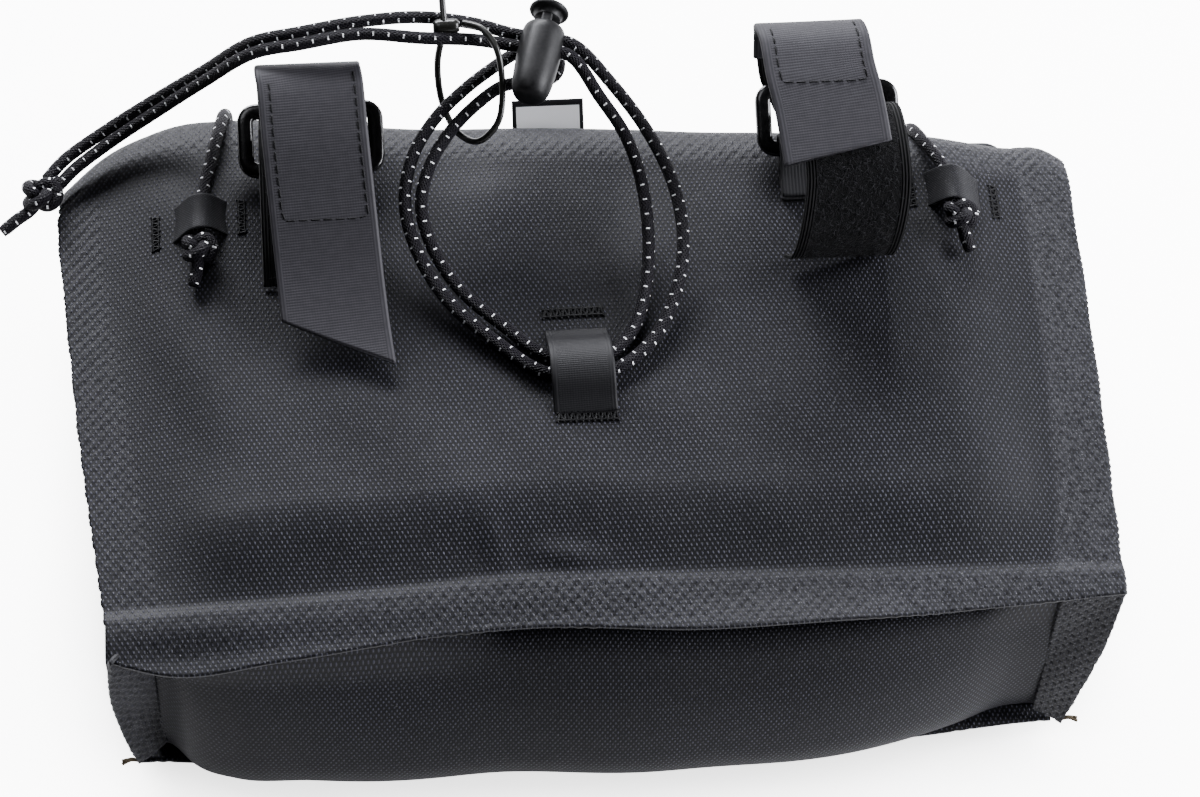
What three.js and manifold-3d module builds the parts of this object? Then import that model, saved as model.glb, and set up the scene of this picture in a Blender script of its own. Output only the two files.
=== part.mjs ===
// A small handlebar bag with welded seams, lying on its front face. Millimetres; +Z up out of the back panel,
// +Y towards the bag's top edge, +X along its width. The origin is under the middle of it, where it rests.
import * as THREE from "three";
import { mergeVertices } from "three/addons/utils/BufferGeometryUtils.js";
import Module from "manifold-3d";

const wasm = await Module();
wasm.setup();

// Driving dimensions.
const GAP = 0.3; // air between pieces that touch
const HALF_WIDTH = 120;
const HALF_HEIGHT = 62.5;
const FLANGE = 12; // welded seam allowance at the sides and the bottom
const TOP_FLANGE = 4.5; // the top seam allowance is rolled over, so less of it stands out
const FABRIC = 1.6; // wall of the coated fabric with its welded backing
const BACK_FLANGE_TOP = 64;
const FRONT_FLANGE_LOW = 8;
const BACK_CROWN = 5;
const BACK_EDGE = 4; // width over which the back panel rises from its seam
const FRONT_EDGE = 22;
const TOP_BULGE = 14;
const BOTTOM_BULGE = 29;
const SIDE_BULGE = 8;
const PINCH = 20; // length over which a gusset narrows into its corner
const WEBBING_WIDTH = 25;
const WEBBING = 1.4;
const NARROW_WEBBING = 1.0;
const STRAP_X = 62.5; // centre of each mounting strap
const RING = { width: 35, height: 18, bar: 3.8, thick: 3, tilt: 25, y: 64, z: 76.5 };
const SIDE_LOOP = { x: 91, y: 47.4, length: 13, halfWidth: 6.3 };
const CENTRE_LOOP = { x: -2.8, width: 15 };
const CORD = 3; // diameter of both shock cords
const CORD_SIDES = 8;
const ZIP = { z: 36, coilHalf: 72, slotHalf: 90, slotHeight: 15, coilHeight: 5.2 };
const LOCK = { top: [-5.1, 84.3, 98], heading: 255, radius: 5.2, length: 27, travel: 4 };

// Sizes that follow from them.
const SURFACE = BACK_FLANGE_TOP + BACK_CROWN; // top of the back panel
const SEAM_X = HALF_WIDTH - FLANGE;
const TOP_SEAM = HALF_HEIGHT - TOP_FLANGE;
const BOTTOM_SEAM = -HALF_HEIGHT + FLANGE;
const WALL_TOP = BACK_FLANGE_TOP - FABRIC - GAP;
const WALL_LOW = FRONT_FLANGE_LOW + FABRIC + GAP;
const WALL_MIDDLE = (WALL_TOP + WALL_LOW) / 2;
const WALL_HALF = (WALL_TOP - WALL_LOW) / 2;
const ZIP_FACE = TOP_SEAM + TOP_BULGE; // outermost line of the top gusset
const ALONG_X = new THREE.Matrix4().makeBasis(
  new THREE.Vector3(0, 1, 0),
  new THREE.Vector3(0, 0, 1),
  new THREE.Vector3(1, 0, 0),
);
const ALONG_Y = new THREE.Matrix4().makeBasis(
  new THREE.Vector3(1, 0, 0),
  new THREE.Vector3(0, 0, 1),
  new THREE.Vector3(0, -1, 0),
);

const bag = new THREE.Group();

// Colour, roughness and metalness of each material.
const FINISHES = {
  shell: [0x24272c, 0.7, 0],
  webbing: [0x2f2f33, 0.75, 0],
  fuzzy: [0x101012, 0.95, 0],
  hook: [0x18181a, 0.8, 0],
  thread: [0x0c0c0d, 0.7, 0],
  ring: [0x0b0b0c, 0.2, 0],
  cord: [0x1c1a20, 0.7, 0],
  lock: [0x2a2b2d, 0.4, 0],
  steel: [0x9a9a98, 0.3, 1],
  tie: [0x2b2b29, 0.35, 0],
  zip: [0x17181a, 0.6, 0],
  label: [0xd8d8d4, 0.8, 0],
};

function addMesh(name, geometry, finish) {
  const [color, roughness, metalness] = FINISHES[finish];
  const mesh = new THREE.Mesh(geometry, new THREE.MeshStandardMaterial({ color, roughness, metalness }));
  mesh.name = name;
  bag.add(mesh);
  return mesh;
}

// A geometry as a manifold-3d solid, and back again.
function toSolid(geometry) {
  const bare = geometry.clone();
  bare.deleteAttribute("normal");
  bare.deleteAttribute("uv");
  const merged = mergeVertices(bare, 1e-4);
  const mesh = new wasm.Mesh({
    numProp: 3,
    vertProperties: merged.attributes.position.array,
    triVerts: new Uint32Array(merged.index.array),
  });
  return new wasm.Manifold(mesh);
}

function toGeometry(solid) {
  const { vertProperties, triVerts } = solid.getMesh();
  const geometry = new THREE.BufferGeometry();
  geometry.setAttribute("position", new THREE.BufferAttribute(vertProperties, 3));
  geometry.setIndex(new THREE.BufferAttribute(triVerts, 1));
  return geometry;
}

function join(first, ...others) {
  return toGeometry(others.reduce((solid, g) => solid.add(toSolid(g)), toSolid(first)));
}

function cut(first, ...tools) {
  return toGeometry(tools.reduce((solid, g) => solid.subtract(toSolid(g)), toSolid(first)));
}

function common(first, second) {
  return toGeometry(toSolid(first).intersect(toSolid(second)));
}

// A box between two corners.
function block([x0, y0, z0], [x1, y1, z1]) {
  const box = new THREE.BoxGeometry(x1 - x0, y1 - y0, z1 - z0);
  return box.translate((x0 + x1) / 2, (y0 + y1) / 2, (z0 + z1) / 2);
}

function roundedRectangle(x0, y0, x1, y1, radius) {
  const shape = new THREE.Shape();
  shape.absarc(x1 - radius, y1 - radius, radius, 0, Math.PI / 2);
  shape.absarc(x0 + radius, y1 - radius, radius, Math.PI / 2, Math.PI);
  shape.absarc(x0 + radius, y0 + radius, radius, Math.PI, 1.5 * Math.PI);
  shape.absarc(x1 - radius, y0 + radius, radius, 1.5 * Math.PI, 2 * Math.PI);
  return shape;
}

function extrude(shape, depth, options = {}) {
  return new THREE.ExtrudeGeometry(shape, { depth, bevelEnabled: false, curveSegments: 3, ...options });
}

// The outline of a strip of webbing seen edge on: a smooth line through the points, with a thickness.
function ribbon(points, thickness, steps) {
  const line = new THREE.SplineCurve(points.map(([u, v]) => new THREE.Vector2(u, v)));
  const upper = [];
  const lower = [];
  for (let i = 0; i <= steps; i++) {
    const point = line.getPointAt(i / steps);
    const along = line.getTangentAt(i / steps);
    const side = new THREE.Vector2(-along.y, along.x).multiplyScalar(thickness / 2);
    upper.push(point.clone().add(side));
    lower.unshift(point.clone().sub(side));
  }
  return new THREE.Shape([...upper, ...lower]);
}

// A strip whose edge-on line lies in the YZ plane, width wide about x.
function stripAlongX(points, thickness, x, width, steps) {
  const strip = extrude(ribbon(points, thickness, steps), width);
  return strip.applyMatrix4(ALONG_X).translate(x - width / 2, 0, 0);
}

// A strip whose edge-on line lies in the XZ plane, width wide about y.
function stripAlongY(points, thickness, y, width, steps) {
  const strip = extrude(ribbon(points, thickness, steps), width);
  return strip.applyMatrix4(ALONG_Y).translate(0, y + width / 2, 0);
}

function arc([u, v], radius, from, to, count) {
  const points = [];
  for (let i = 0; i <= count; i++) {
    const angle = THREE.MathUtils.degToRad(from + ((to - from) * i) / count);
    points.push([u + radius * Math.cos(angle), v + radius * Math.sin(angle)]);
  }
  return points;
}

// A round cord or band along a smooth line through the points.
function tube(points, radius, steps) {
  const rim = arc([0, 0], radius, 0, 360, CORD_SIDES).slice(1);
  const section = new THREE.Shape(rim.map((point) => new THREE.Vector2(...point)));
  const route = points.map((point) => new THREE.Vector3(...point));
  const path = new THREE.CatmullRomCurve3(route, false, "centripetal");
  return new THREE.ExtrudeGeometry(section, { steps, extrudePath: path, bevelEnabled: false });
}

// The rounded rectangle inside the welded seam, drawn in by an inset.
function seamOutline(inset) {
  return roundedRectangle(
    -SEAM_X + inset,
    BOTTOM_SEAM + inset,
    SEAM_X - inset,
    TOP_SEAM - inset,
    8,
  );
}

// A fabric panel: a flat flange with a crowned middle, its underside at z 0 and its crown on top.
function crownedPanel(crown, edge) {
  const plate = extrude(roundedRectangle(-HALF_WIDTH, -HALF_HEIGHT, HALF_WIDTH, HALF_HEIGHT, 5), FABRIC);
  const bevel = { bevelEnabled: true, bevelThickness: crown, bevelSize: edge, bevelSegments: 4 };
  const outside = extrude(seamOutline(edge), FABRIC, bevel);
  const inside = extrude(seamOutline(edge + FABRIC), FABRIC, bevel).translate(0, 0, -FABRIC);
  const below = block([-HALF_WIDTH, -HALF_HEIGHT, -3 * crown], [HALF_WIDTH, HALF_HEIGHT, 0]);
  return cut(join(plate, outside), inside, below);
}

function addPanels() {
  addMesh("back_panel", crownedPanel(BACK_CROWN, BACK_EDGE), "shell").position.z = BACK_FLANGE_TOP - FABRIC;
  const front = addMesh("front_panel", crownedPanel(FRONT_FLANGE_LOW, FRONT_EDGE), "shell");
  front.scale.z = -1;
  front.position.z = FRONT_FLANGE_LOW + FABRIC;
}

// The filled form of a gusset: half an ellipse along its length, narrowing at both ends. open carries it past
// the seam.
function gussetForm(length, bulge, half, open) {
  const section = arc([0, 0], 1, -90, 90, 12).map(([u, v]) => new THREE.Vector2(u * bulge, v * half));
  const mouth = [new THREE.Vector2(-open, half), new THREE.Vector2(-open, -half)];
  const wall = new THREE.Shape([...section, ...mouth]);
  const end = length / 2;
  const plan = new THREE.Shape();
  plan.moveTo(-end, -open);
  plan.lineTo(end, -open);
  plan.lineTo(end, 0);
  plan.quadraticCurveTo(end - PINCH / 5, bulge, end - PINCH, bulge + 1);
  plan.lineTo(PINCH - end, bulge + 1);
  plan.quadraticCurveTo(PINCH / 5 - end, bulge, -end, 0);
  const long = extrude(wall, length).applyMatrix4(ALONG_X).translate(-end, 0, 0);
  return common(long, extrude(plan, 2 * half + 2).translate(0, 0, -half - 1));
}

// A gusset's wall, bulging towards +Y, with its open side on y 0.
function gusset(length, bulge) {
  const form = gussetForm(length, bulge, WALL_HALF, 0.01);
  return cut(form, gussetForm(length - 2 * FABRIC, bulge - FABRIC, WALL_HALF - FABRIC, 2));
}

function addGussets() {
  const across = 2 * (SEAM_X - 1);
  const upright = TOP_SEAM - BOTTOM_SEAM - 2;
  const bottom = addMesh("bottom_gusset", gusset(across, BOTTOM_BULGE), "shell");
  bottom.rotation.z = Math.PI;
  bottom.position.set(0, BOTTOM_SEAM, WALL_MIDDLE);

  const slot = block(
    [-ZIP.slotHalf, 2, -ZIP.slotHeight / 2],
    [ZIP.slotHalf, TOP_BULGE + 2, ZIP.slotHeight / 2],
  );
  const top = addMesh("top_gusset", cut(gusset(across, TOP_BULGE), slot), "shell");
  top.position.set(0, TOP_SEAM, WALL_MIDDLE);

  for (const [side, sign] of [["left", -1], ["right", 1]]) {
    const wall = addMesh(`${side}_gusset`, gusset(upright, SIDE_BULGE), "shell");
    wall.rotation.z = (-sign * Math.PI) / 2;
    wall.position.set(sign * SEAM_X, (TOP_SEAM + BOTTOM_SEAM) / 2, WALL_MIDDLE);
  }
}

// The welded seam allowances that stand out at the four corners of the gusset strip.
function addCornerSeams() {
  const corners = [
    ["bottom", BOTTOM_SEAM, -45, 12],
    ["top", TOP_SEAM, 20, 9.5],
  ];
  for (const [level, y, angle, reach] of corners) {
    for (const [side, sign] of [["left", -1], ["right", 1]]) {
      const fin = block([1.5, -FABRIC / 2, WALL_LOW], [1.5 + reach, FABRIC / 2, WALL_TOP]);
      const mesh = addMesh(`corner_seam_${level}_${side}`, fin, "shell");
      const heading = THREE.MathUtils.degToRad(angle);
      mesh.rotation.z = sign > 0 ? heading : Math.PI - heading;
      mesh.position.set(sign * SEAM_X, y, 0);
    }
  }
}

// The zip in the top gusset: two tapes, the closed coil, a stop at each end, and the slider with its pull.
function addZip() {
  const half = ZIP.coilHeight / 2;
  const tapeLow = half + GAP;
  const tapeHigh = ZIP.slotHeight / 2 - GAP;
  const tapeEnd = ZIP.slotHalf - GAP;
  const face = ZIP_FACE;
  addMesh(
    "zip_tape_back",
    block([-tapeEnd, face - 1.8, ZIP.z + tapeLow], [tapeEnd, face - 0.8, ZIP.z + tapeHigh]),
    "zip",
  );
  addMesh(
    "zip_tape_front",
    block([-tapeEnd, face - 1.8, ZIP.z - tapeHigh], [tapeEnd, face - 0.8, ZIP.z - tapeLow]),
    "zip",
  );
  addMesh(
    "zip_coil",
    block([-ZIP.coilHalf, face - 2, ZIP.z - half], [ZIP.coilHalf, face, ZIP.z + half]),
    "zip",
  );
  for (const [side, sign] of [["left", -1], ["right", 1]]) {
    const stop = block([-1.5, face - 2, ZIP.z - half], [1.5, face + 0.6, ZIP.z + half]);
    addMesh(`zip_stop_${side}`, stop.translate(sign * (ZIP.coilHalf + GAP + 1.5), 0, 0), "steel");
  }
  addSlider(-62, face + GAP);
}

function addSlider(x, y) {
  const pinY = y + 5.2;
  const pin = new THREE.CylinderGeometry(0.8, 0.8, 5.4, 12).rotateX(Math.PI / 2).translate(0, pinY, 0);
  const body = extrude(roundedRectangle(-5, -4.2, 5, 4.2, 1.5), 2.8).applyMatrix4(ALONG_Y);
  const ears = [-1, 1].map((sign) => block([-2, y + 2, sign * 2.1 - 0.6], [2, y + 6.6, sign * 2.1 + 0.6]));
  const slider = join(body.translate(0, y + 2.8, 0), ...ears, pin);
  addMesh("zip_slider", slider, "steel").position.set(x, 0, ZIP.z);

  const eye = new THREE.CylinderGeometry(2, 2, 2.4, 16).rotateX(Math.PI / 2);
  const hole = new THREE.CylinderGeometry(1.15, 1.15, 4, 16).rotateX(Math.PI / 2);
  const neck = block([0.5, -0.8, -1.2], [4, 0.8, 1.2]);
  const grip = roundedRectangle(3.4, -3, 16, 3, 2);
  grip.holes.push(new THREE.Path().absarc(12.5, 0, 1.4, 0, 2 * Math.PI));
  const plate = extrude(grip, 1.6, { curveSegments: 4 }).applyMatrix4(ALONG_Y).translate(0, 0.8, 0);
  addMesh("zip_pull", cut(join(eye, neck, plate), hole), "steel").position.set(x, pinY, ZIP.z);
}

// A short bar of close zigzag stitches, across x or along y.
function addBartack(name, x, y, acrossWidth, alongHeight) {
  const [u, v] = [acrossWidth / 2, alongHeight / 2];
  addMesh(name, extrude(roundedRectangle(-u, -v, u, v, 1), 0.8), "thread").position.set(x, y, SURFACE + GAP);
}

// The webbing loop in the middle of the back panel that the stabilising cord passes through.
function addCentreLoop() {
  const line = [[11.4, 69.9], [8, 71.6], [4.6, 74], [1.2, 74.8], [-2.2, 74], [-5.6, 71.6], [-9, 69.9]];
  const { x, width } = CENTRE_LOOP;
  addMesh("centre_loop", stripAlongX(line, NARROW_WEBBING, x, width, 16), "webbing");
  addBartack("centre_loop_bartack_upper", x, 16.5, width, 3);
  addBartack("centre_loop_bartack_lower", x, -12, width, 3);
}

// The short webbing tunnels near the top corners that the cargo cord is knotted under.
function addSideLoops() {
  const { x, y, length, halfWidth } = SIDE_LOOP;
  const rise = [[-1, 69.9], [-0.75, 72.4], [-0.35, 74.3], [0, 74.7]];
  const profile = [...rise, [0.35, 74.3], [0.75, 72.4], [1, 69.9]];
  for (const [side, sign] of [["left", -1], ["right", 1]]) {
    const line = profile.map(([u, z]) => [sign * x + u * halfWidth, z]);
    addMesh(`${side}_side_loop`, stripAlongY(line, NARROW_WEBBING, y, length, 14), "webbing");
    addBartack(`${side}_side_loop_bartack_outer`, sign * (x + 11), y, 2.6, 10);
    addBartack(`${side}_side_loop_bartack_inner`, sign * (x - 10.5), y, 2.6, 10);
  }
}

// The two points where the ring's long bars are cut by the YZ plane.
function ringBar(sign) {
  const tilt = THREE.MathUtils.degToRad(RING.tilt);
  const reach = (sign * (RING.height - RING.bar)) / 2;
  return [RING.y + reach * Math.cos(tilt), RING.z + reach * Math.sin(tilt)];
}

function addRing(side, x) {
  const { width, height, bar, thick } = RING;
  const outline = roundedRectangle(-width / 2, -height / 2, width / 2, height / 2, 4);
  const [holeX, holeY] = [width / 2 - bar, height / 2 - bar];
  outline.holes.push(roundedRectangle(-holeX, -holeY, holeX, holeY, 1.2));
  const ring = addMesh(`${side}_ring`, extrude(outline, thick).translate(0, 0, -thick / 2), "ring");
  ring.rotation.x = THREE.MathUtils.degToRad(RING.tilt);
  ring.position.set(x, RING.y, RING.z);

  const lower = ringBar(-1);
  const around = arc(lower, 3.3, -100, 100, 6);
  const anchor = [[45, 69.9], [50, 69.9], ...around, [50.5, 73.2], [45, 71.7]];
  addMesh(`${side}_ring_anchor`, stripAlongX(anchor, NARROW_WEBBING, x, WEBBING_WIDTH, 30), "webbing");
}

// Each mounting strap rises from its slit, arches over the handlebar's place, turns round the ring's upper
// bar and folds back. Its tail, with the hook patch under it, is a piece of its own because it peels open.
const UNDER_RING = arc(ringBar(1), 4.7, 205, 360, 5);
const STRAPS = {
  left: {
    x: -STRAP_X,
    rise: [[27, 69.9], [34, 74], [45, 78], [57, 79.5], [62.5, 78.6]],
    fold: [[75.3, 86], [74.4, 92], [71, 95.6], [66.3, 95.9]],
    tail: [[65.8, 95.8], [55, 92], [40, 84.6], [25, 77.8], [12, 73.4], [2, 71.2]],
    patch: [[62, 93], [50, 87.9], [40, 82.7], [28, 77.4]],
    cutLine: [[-78, 15.5], [-46, 2.5]],
  },
  right: {
    x: STRAP_X,
    rise: [[29.5, 69.9], [25, 77], [26, 87], [33, 95], [43, 98], [53, 95.2], [60, 87.5], [63.2, 81.2]],
    fold: [[75.4, 88], [75, 98], [72, 104.3], [66.6, 106.6]],
    tail: [[66.1, 106.6], [58, 105.8], [50, 103.9], [38, 101.4]],
    patch: [[63, 104.4], [58, 103.8], [50, 101.9], [46, 100.9]],
    cutLine: [[48, 38.8], [77, 45.2]],
  },
};

function addStrap(side) {
  const { x, rise, fold, tail, patch, cutLine } = STRAPS[side];
  const line = [...rise, ...UNDER_RING, ...fold];
  addMesh(`${side}_strap`, stripAlongX(line, WEBBING, x, WEBBING_WIDTH, 60), "fuzzy");
  const [[x0, y0], [x1, y1]] = cutLine;
  const offcut = new THREE.Shape([
    new THREE.Vector2(x0, y0),
    new THREE.Vector2(x0, y0 - 30),
    new THREE.Vector2(x1, y0 - 30),
    new THREE.Vector2(x1, y1),
  ]);
  const whole = stripAlongX(tail, WEBBING, x, WEBBING_WIDTH, 20);
  addMesh(`${side}_strap_tail`, cut(whole, extrude(offcut, 60).translate(0, 0, SURFACE)), "webbing");
  addMesh(`${side}_hook_patch`, stripAlongX(patch, 0.8, x, WEBBING_WIDTH - 4, 10), "hook");
}

function addMounting() {
  for (const side of ["left", "right"]) {
    addRing(side, STRAPS[side].x);
    addStrap(side);
  }
}

// The cord lock: a barrel across both strands, with a sprung button that runs inside it. It is built along +X
// from the button's face and turned to its heading.
function addCordLock() {
  const { top, heading, radius, length, travel } = LOCK;
  const cavity = 3.7;
  const rod = 3.4;
  const mouth = 2.2 + travel + 0.5;
  const floor = length - 2;
  const cordAt = 10.9;
  const slotHalf = CORD + 0.45;
  const lathe = (profile) =>
    new THREE.LatheGeometry(profile.map(([r, s]) => new THREE.Vector2(r, s)), 20).rotateZ(-Math.PI / 2);
  const slot = (from, to) => block([from, -8, -CORD / 2 - GAP], [to, 8, CORD / 2 + GAP]);
  const barrel = lathe([
    [cavity, mouth],
    [radius - 0.8, mouth],
    [radius, mouth + 2],
    [radius - 0.3, length - 6],
    [radius - 1, length - 1.5],
    [radius - 2.4, length],
    [0, length],
    [0, floor],
    [cavity, floor],
    [cavity, mouth],
  ]);
  const button = lathe([
    [0, 0],
    [3.2, 0.2],
    [4.6, 1],
    [4.6, 1.7],
    [rod, 2.2],
    [rod, cordAt + slotHalf + 3.2],
    [0, cordAt + slotHalf + 3.2],
  ]);
  const spring = lathe([
    [2.1, cordAt + slotHalf + 3.5],
    [3.1, cordAt + slotHalf + 3.5],
    [3.1, floor - GAP],
    [2.1, floor - GAP],
    [2.1, cordAt + slotHalf + 3.5],
  ]);
  const pieces = [
    ["cord_lock_barrel", cut(barrel, slot(cordAt - slotHalf, cordAt + slotHalf)), "lock"],
    ["cord_lock_button", cut(button, slot(cordAt - slotHalf - travel, cordAt + slotHalf)), "lock"],
    ["cord_lock_spring", spring, "steel"],
  ];
  for (const [name, geometry, finish] of pieces) {
    const mesh = addMesh(name, geometry, finish);
    mesh.rotation.z = THREE.MathUtils.degToRad(heading);
    mesh.position.set(...top);
  }
}

// The stabilising cord's route, from the stopper knot through the cord lock, down the right, through the
// centre loop, up the left, round the bight under the lock and back the same way beside itself.
const BUNGEE_ROUTE = [
  [-127.3, 62.0, 66.8],
  [-122.9, 67.0, 67.5],
  [-112.8, 73.3, 70],
  [-101.2, 77.5, 75.5],
  [-88.2, 79.2, 85],
  [-76.2, 78.8, 96.5],
  [-64.8, 78.8, 99.8],
  [-50.6, 80.2, 101.2],
  [-36.4, 80.8, 101.2],
  [-24, 79.6, 99.6],
  [-14.5, 77.2, 98],
  [-7.5, 75.4, 98],
  [-0.5, 73.5, 98],
  [8.2, 65.6, 92.8],
  [16.9, 54.4, 86.5],
  [21.9, 43.2, 81.5],
  [23.3, 31, 77.3],
  [20.9, 18.9, 74],
  [14.6, 7.2, 71.6],
  [5.5, 0.2, 70.9],
  [-3, -0.5, 70.8],
  [-11.5, -0.1, 70.9],
  [-22.4, 8.4, 71.5],
  [-32.9, 18.6, 73.5],
  [-39.6, 30.5, 77],
  [-42, 41.4, 81],
  [-40, 51, 85],
  [-34.6, 59.6, 88],
  [-27, 66.8, 90],
  [-19, 72.9, 90.9],
  [-13.5, 76.6, 90.9],
  [-8.5, 78, 90.9],
  [-4.9, 76.5, 90.9],
  [-3.5, 73, 90.9],
  [-4.9, 69.5, 90.9],
  [-8.5, 68, 90.9],
  [-13, 67.9, 90.9],
  [-17.4, 67.2, 90.9],
  [-24.2, 62.6, 90],
  [-31.2, 55.8, 88],
  [-36, 48.6, 85],
  [-38.2, 40.8, 81],
  [-36, 31.5, 77],
  [-29.8, 21.6, 73.5],
  [-20, 12.2, 71.5],
  [-10.6, 4.2, 70.9],
  [-3, 3.1, 70.8],
  [3.6, 3.9, 70.9],
  [9.6, 9.4, 71.5],
  [13.8, 20.5, 73.6],
  [15.2, 34.5, 77.6],
  [14, 46.5, 82],
  [11, 54.4, 87],
  [5.2, 62, 92.6],
  [-1.4, 70.2, 98],
  [-8.4, 72.1, 98],
  [-15.4, 74, 98],
  [-24, 74.8, 99.6],
  [-36.4, 74.8, 101.2],
  [-50.6, 76.6, 101.2],
  [-64.8, 75.4, 99.8],
  [-76, 75.4, 96.9],
  [-88.2, 75.8, 85.5],
  [-100.4, 74.1, 75.8],
  [-111, 70.3, 70.2],
  [-120.4, 64.4, 67.4],
  [-124.7, 59.8, 66.8],
];

// Each half of the cargo cord's route: from its knot under the side loop, over the top edge, where the left
// half goes round a fuller fold, down the top gusset and into its guide.
const CARGO_ROUTES = {
  left: [
    [-91, 40.9, 71.4],
    [-91, 47, 70.9],
    [-89.6, 54, 71.2],
    [-87.6, 62, 72.2],
    [-85.8, 70, 71.6],
    [-84.6, 77.4, 68],
    [-84, 81.8, 61],
    [-84, 81.6, 52],
    [-84, 77.4, 42],
    [-84, 74.6, 33],
    [-84, 73, 25],
    [-82.6, 71, 17.6],
    [-77, 69.2, 14],
    [-70, 68.8, 13.6],
    [-40, 68.8, 13.6],
  ],
  right: [
    [91, 40.9, 71.4],
    [90.6, 47, 70.9],
    [88, 54, 71.2],
    [85.2, 60.6, 69.8],
    [83.8, 66.2, 66.2],
    [83.4, 70, 60],
    [83.6, 73, 52],
    [84, 74.4, 42],
    [84, 74.2, 33],
    [84, 73, 25],
    [82.6, 71, 17.6],
    [77, 69.2, 14],
    [70, 68.8, 13.6],
    [40, 68.8, 13.6],
  ],
};

// A stopper knot with the cord's cut tail.
function knot(centre, radius, tailEnd) {
  const ball = new THREE.SphereGeometry(radius, 12, 8).translate(...centre);
  return join(ball, tube([centre, tailEnd], CORD / 2, 1));
}

function addCords() {
  addMesh("bungee_cord", tube(BUNGEE_ROUTE, CORD / 2, 78), "cord");
  addMesh("bungee_knot", knot([-129.5, 56.6, 66], 4.4, [-137.6, 49.5, 64.5]), "cord");

  const route = [...CARGO_ROUTES.left, ...CARGO_ROUTES.right.toReversed()];
  addMesh("cargo_cord", tube(route, CORD / 2, 56), "cord");
  const guide = [[71.4, 19.6], [72.8, 15.6], [71.8, 11.4], [68.4, 10], [64.4, 10.8]];
  for (const [side, sign] of [["left", -1], ["right", 1]]) {
    const knotAt = [sign * SIDE_LOOP.x, 36.3, SURFACE + GAP + 4.1];
    const tailEnd = [sign * (SIDE_LOOP.x + 1.5), 28.6, SURFACE + GAP + 1.7];
    addMesh(`cargo_knot_${side}`, knot(knotAt, 4.1, tailEnd), "cord");
    addMesh(`cargo_guide_${side}`, stripAlongX(guide, NARROW_WEBBING, sign * 68, 10, 10), "webbing");
  }
}

// The loose plastic tie round the stabilising cord: its head between the strands, and its band.
function addTie() {
  const head = block([-33.6, 76.7, 100], [-27, 78.3, 103.2]);
  const tail = tube([[-31, 77.6, 103.9], [-31, 84, 104.9]], 0.9, 1);
  addMesh("tie_head", join(head, tail), "tie");
  const band = [
    [-26.4, 77.8, 102.4],
    [-22.2, 75.4, 103.2],
    [-19, 70.4, 102.4],
    [-17.9, 63, 98],
    [-19.2, 56, 92.6],
    [-23.8, 53.8, 88],
    [-28.6, 58.8, 84.6],
    [-31.8, 66.6, 86],
    [-32.6, 73, 92.6],
    [-31.4, 76.6, 98.4],
  ];
  addMesh("tie_band", tube(band, 0.9, 22), "tie");
}

function addLabel() {
  const line = [[64.4, 64.9], [69, 66.4], [75.6, 70.2]];
  addMesh("label_tab", stripAlongX(line, NARROW_WEBBING, -5.2, 17.6, 6), "label");
}

addPanels();
addGussets();
addCornerSeams();
addZip();
addCentreLoop();
addSideLoops();
addMounting();
addCordLock();
addCords();
addTie();
addLabel();

export default bag;
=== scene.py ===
"""A small handlebar bag lying on its front face, seen from behind and a little from below its bottom edge.

Shapes are written in millimetres in the shared frame (+Z out of the back panel, +Y towards the top edge, +X
along the width) and become metres when their mesh is made.
"""
import math
import bpy
import numpy as np
from mathutils import Matrix, Vector


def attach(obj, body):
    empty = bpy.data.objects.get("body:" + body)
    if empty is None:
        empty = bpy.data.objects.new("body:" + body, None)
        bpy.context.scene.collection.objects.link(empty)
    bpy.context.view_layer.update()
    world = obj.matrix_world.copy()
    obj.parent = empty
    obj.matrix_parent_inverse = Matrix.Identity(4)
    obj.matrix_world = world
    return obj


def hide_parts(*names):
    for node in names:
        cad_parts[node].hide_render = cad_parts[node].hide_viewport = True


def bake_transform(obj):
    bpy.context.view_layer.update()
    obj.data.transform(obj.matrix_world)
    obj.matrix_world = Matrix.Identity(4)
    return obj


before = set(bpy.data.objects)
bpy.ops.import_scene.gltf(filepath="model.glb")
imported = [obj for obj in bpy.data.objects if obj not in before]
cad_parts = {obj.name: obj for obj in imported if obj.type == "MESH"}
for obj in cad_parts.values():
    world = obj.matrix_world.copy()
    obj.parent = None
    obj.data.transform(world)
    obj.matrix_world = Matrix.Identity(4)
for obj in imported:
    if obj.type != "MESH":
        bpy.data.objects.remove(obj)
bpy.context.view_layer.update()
MM = 0.001
UP = np.array((0, 0, 1.0))


# ---- camera

AIM = Vector((1.4, -4.0, 64.0)) * MM
DISTANCE = 0.822  # metres
AZIMUTH, ELEVATION, ROLL = (math.radians(angle) for angle in (-8.4, 60.5, 4.6))
LENS = 105


def add_camera():
    level = math.cos(ELEVATION)
    back = Vector((math.sin(AZIMUTH) * level, -math.cos(AZIMUTH) * level, math.sin(ELEVATION)))
    right = Vector((math.cos(AZIMUTH), math.sin(AZIMUTH), 0.0))
    up = back.cross(right)
    rolled_right = right * math.cos(ROLL) + up * math.sin(ROLL)
    rolled_up = up * math.cos(ROLL) - right * math.sin(ROLL)
    camera = bpy.data.objects.new("camera", bpy.data.cameras.new("camera"))
    camera.data.lens = LENS
    camera.data.sensor_width = 36
    camera.data.clip_start = 0.05
    turned = Matrix((rolled_right, rolled_up, back)).transposed().to_4x4()
    camera.matrix_world = Matrix.Translation(AIM + back * DISTANCE) @ turned
    bpy.context.collection.objects.link(camera)
    bpy.context.scene.camera = camera


# ---- small helpers

def smooth(low, high, value):
    """0 below low, 1 above high, and a smooth step between."""
    share = np.clip((np.asarray(value, float) - low) / (high - low), 0, 1)
    return share * share * (3 - 2 * share)


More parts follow.
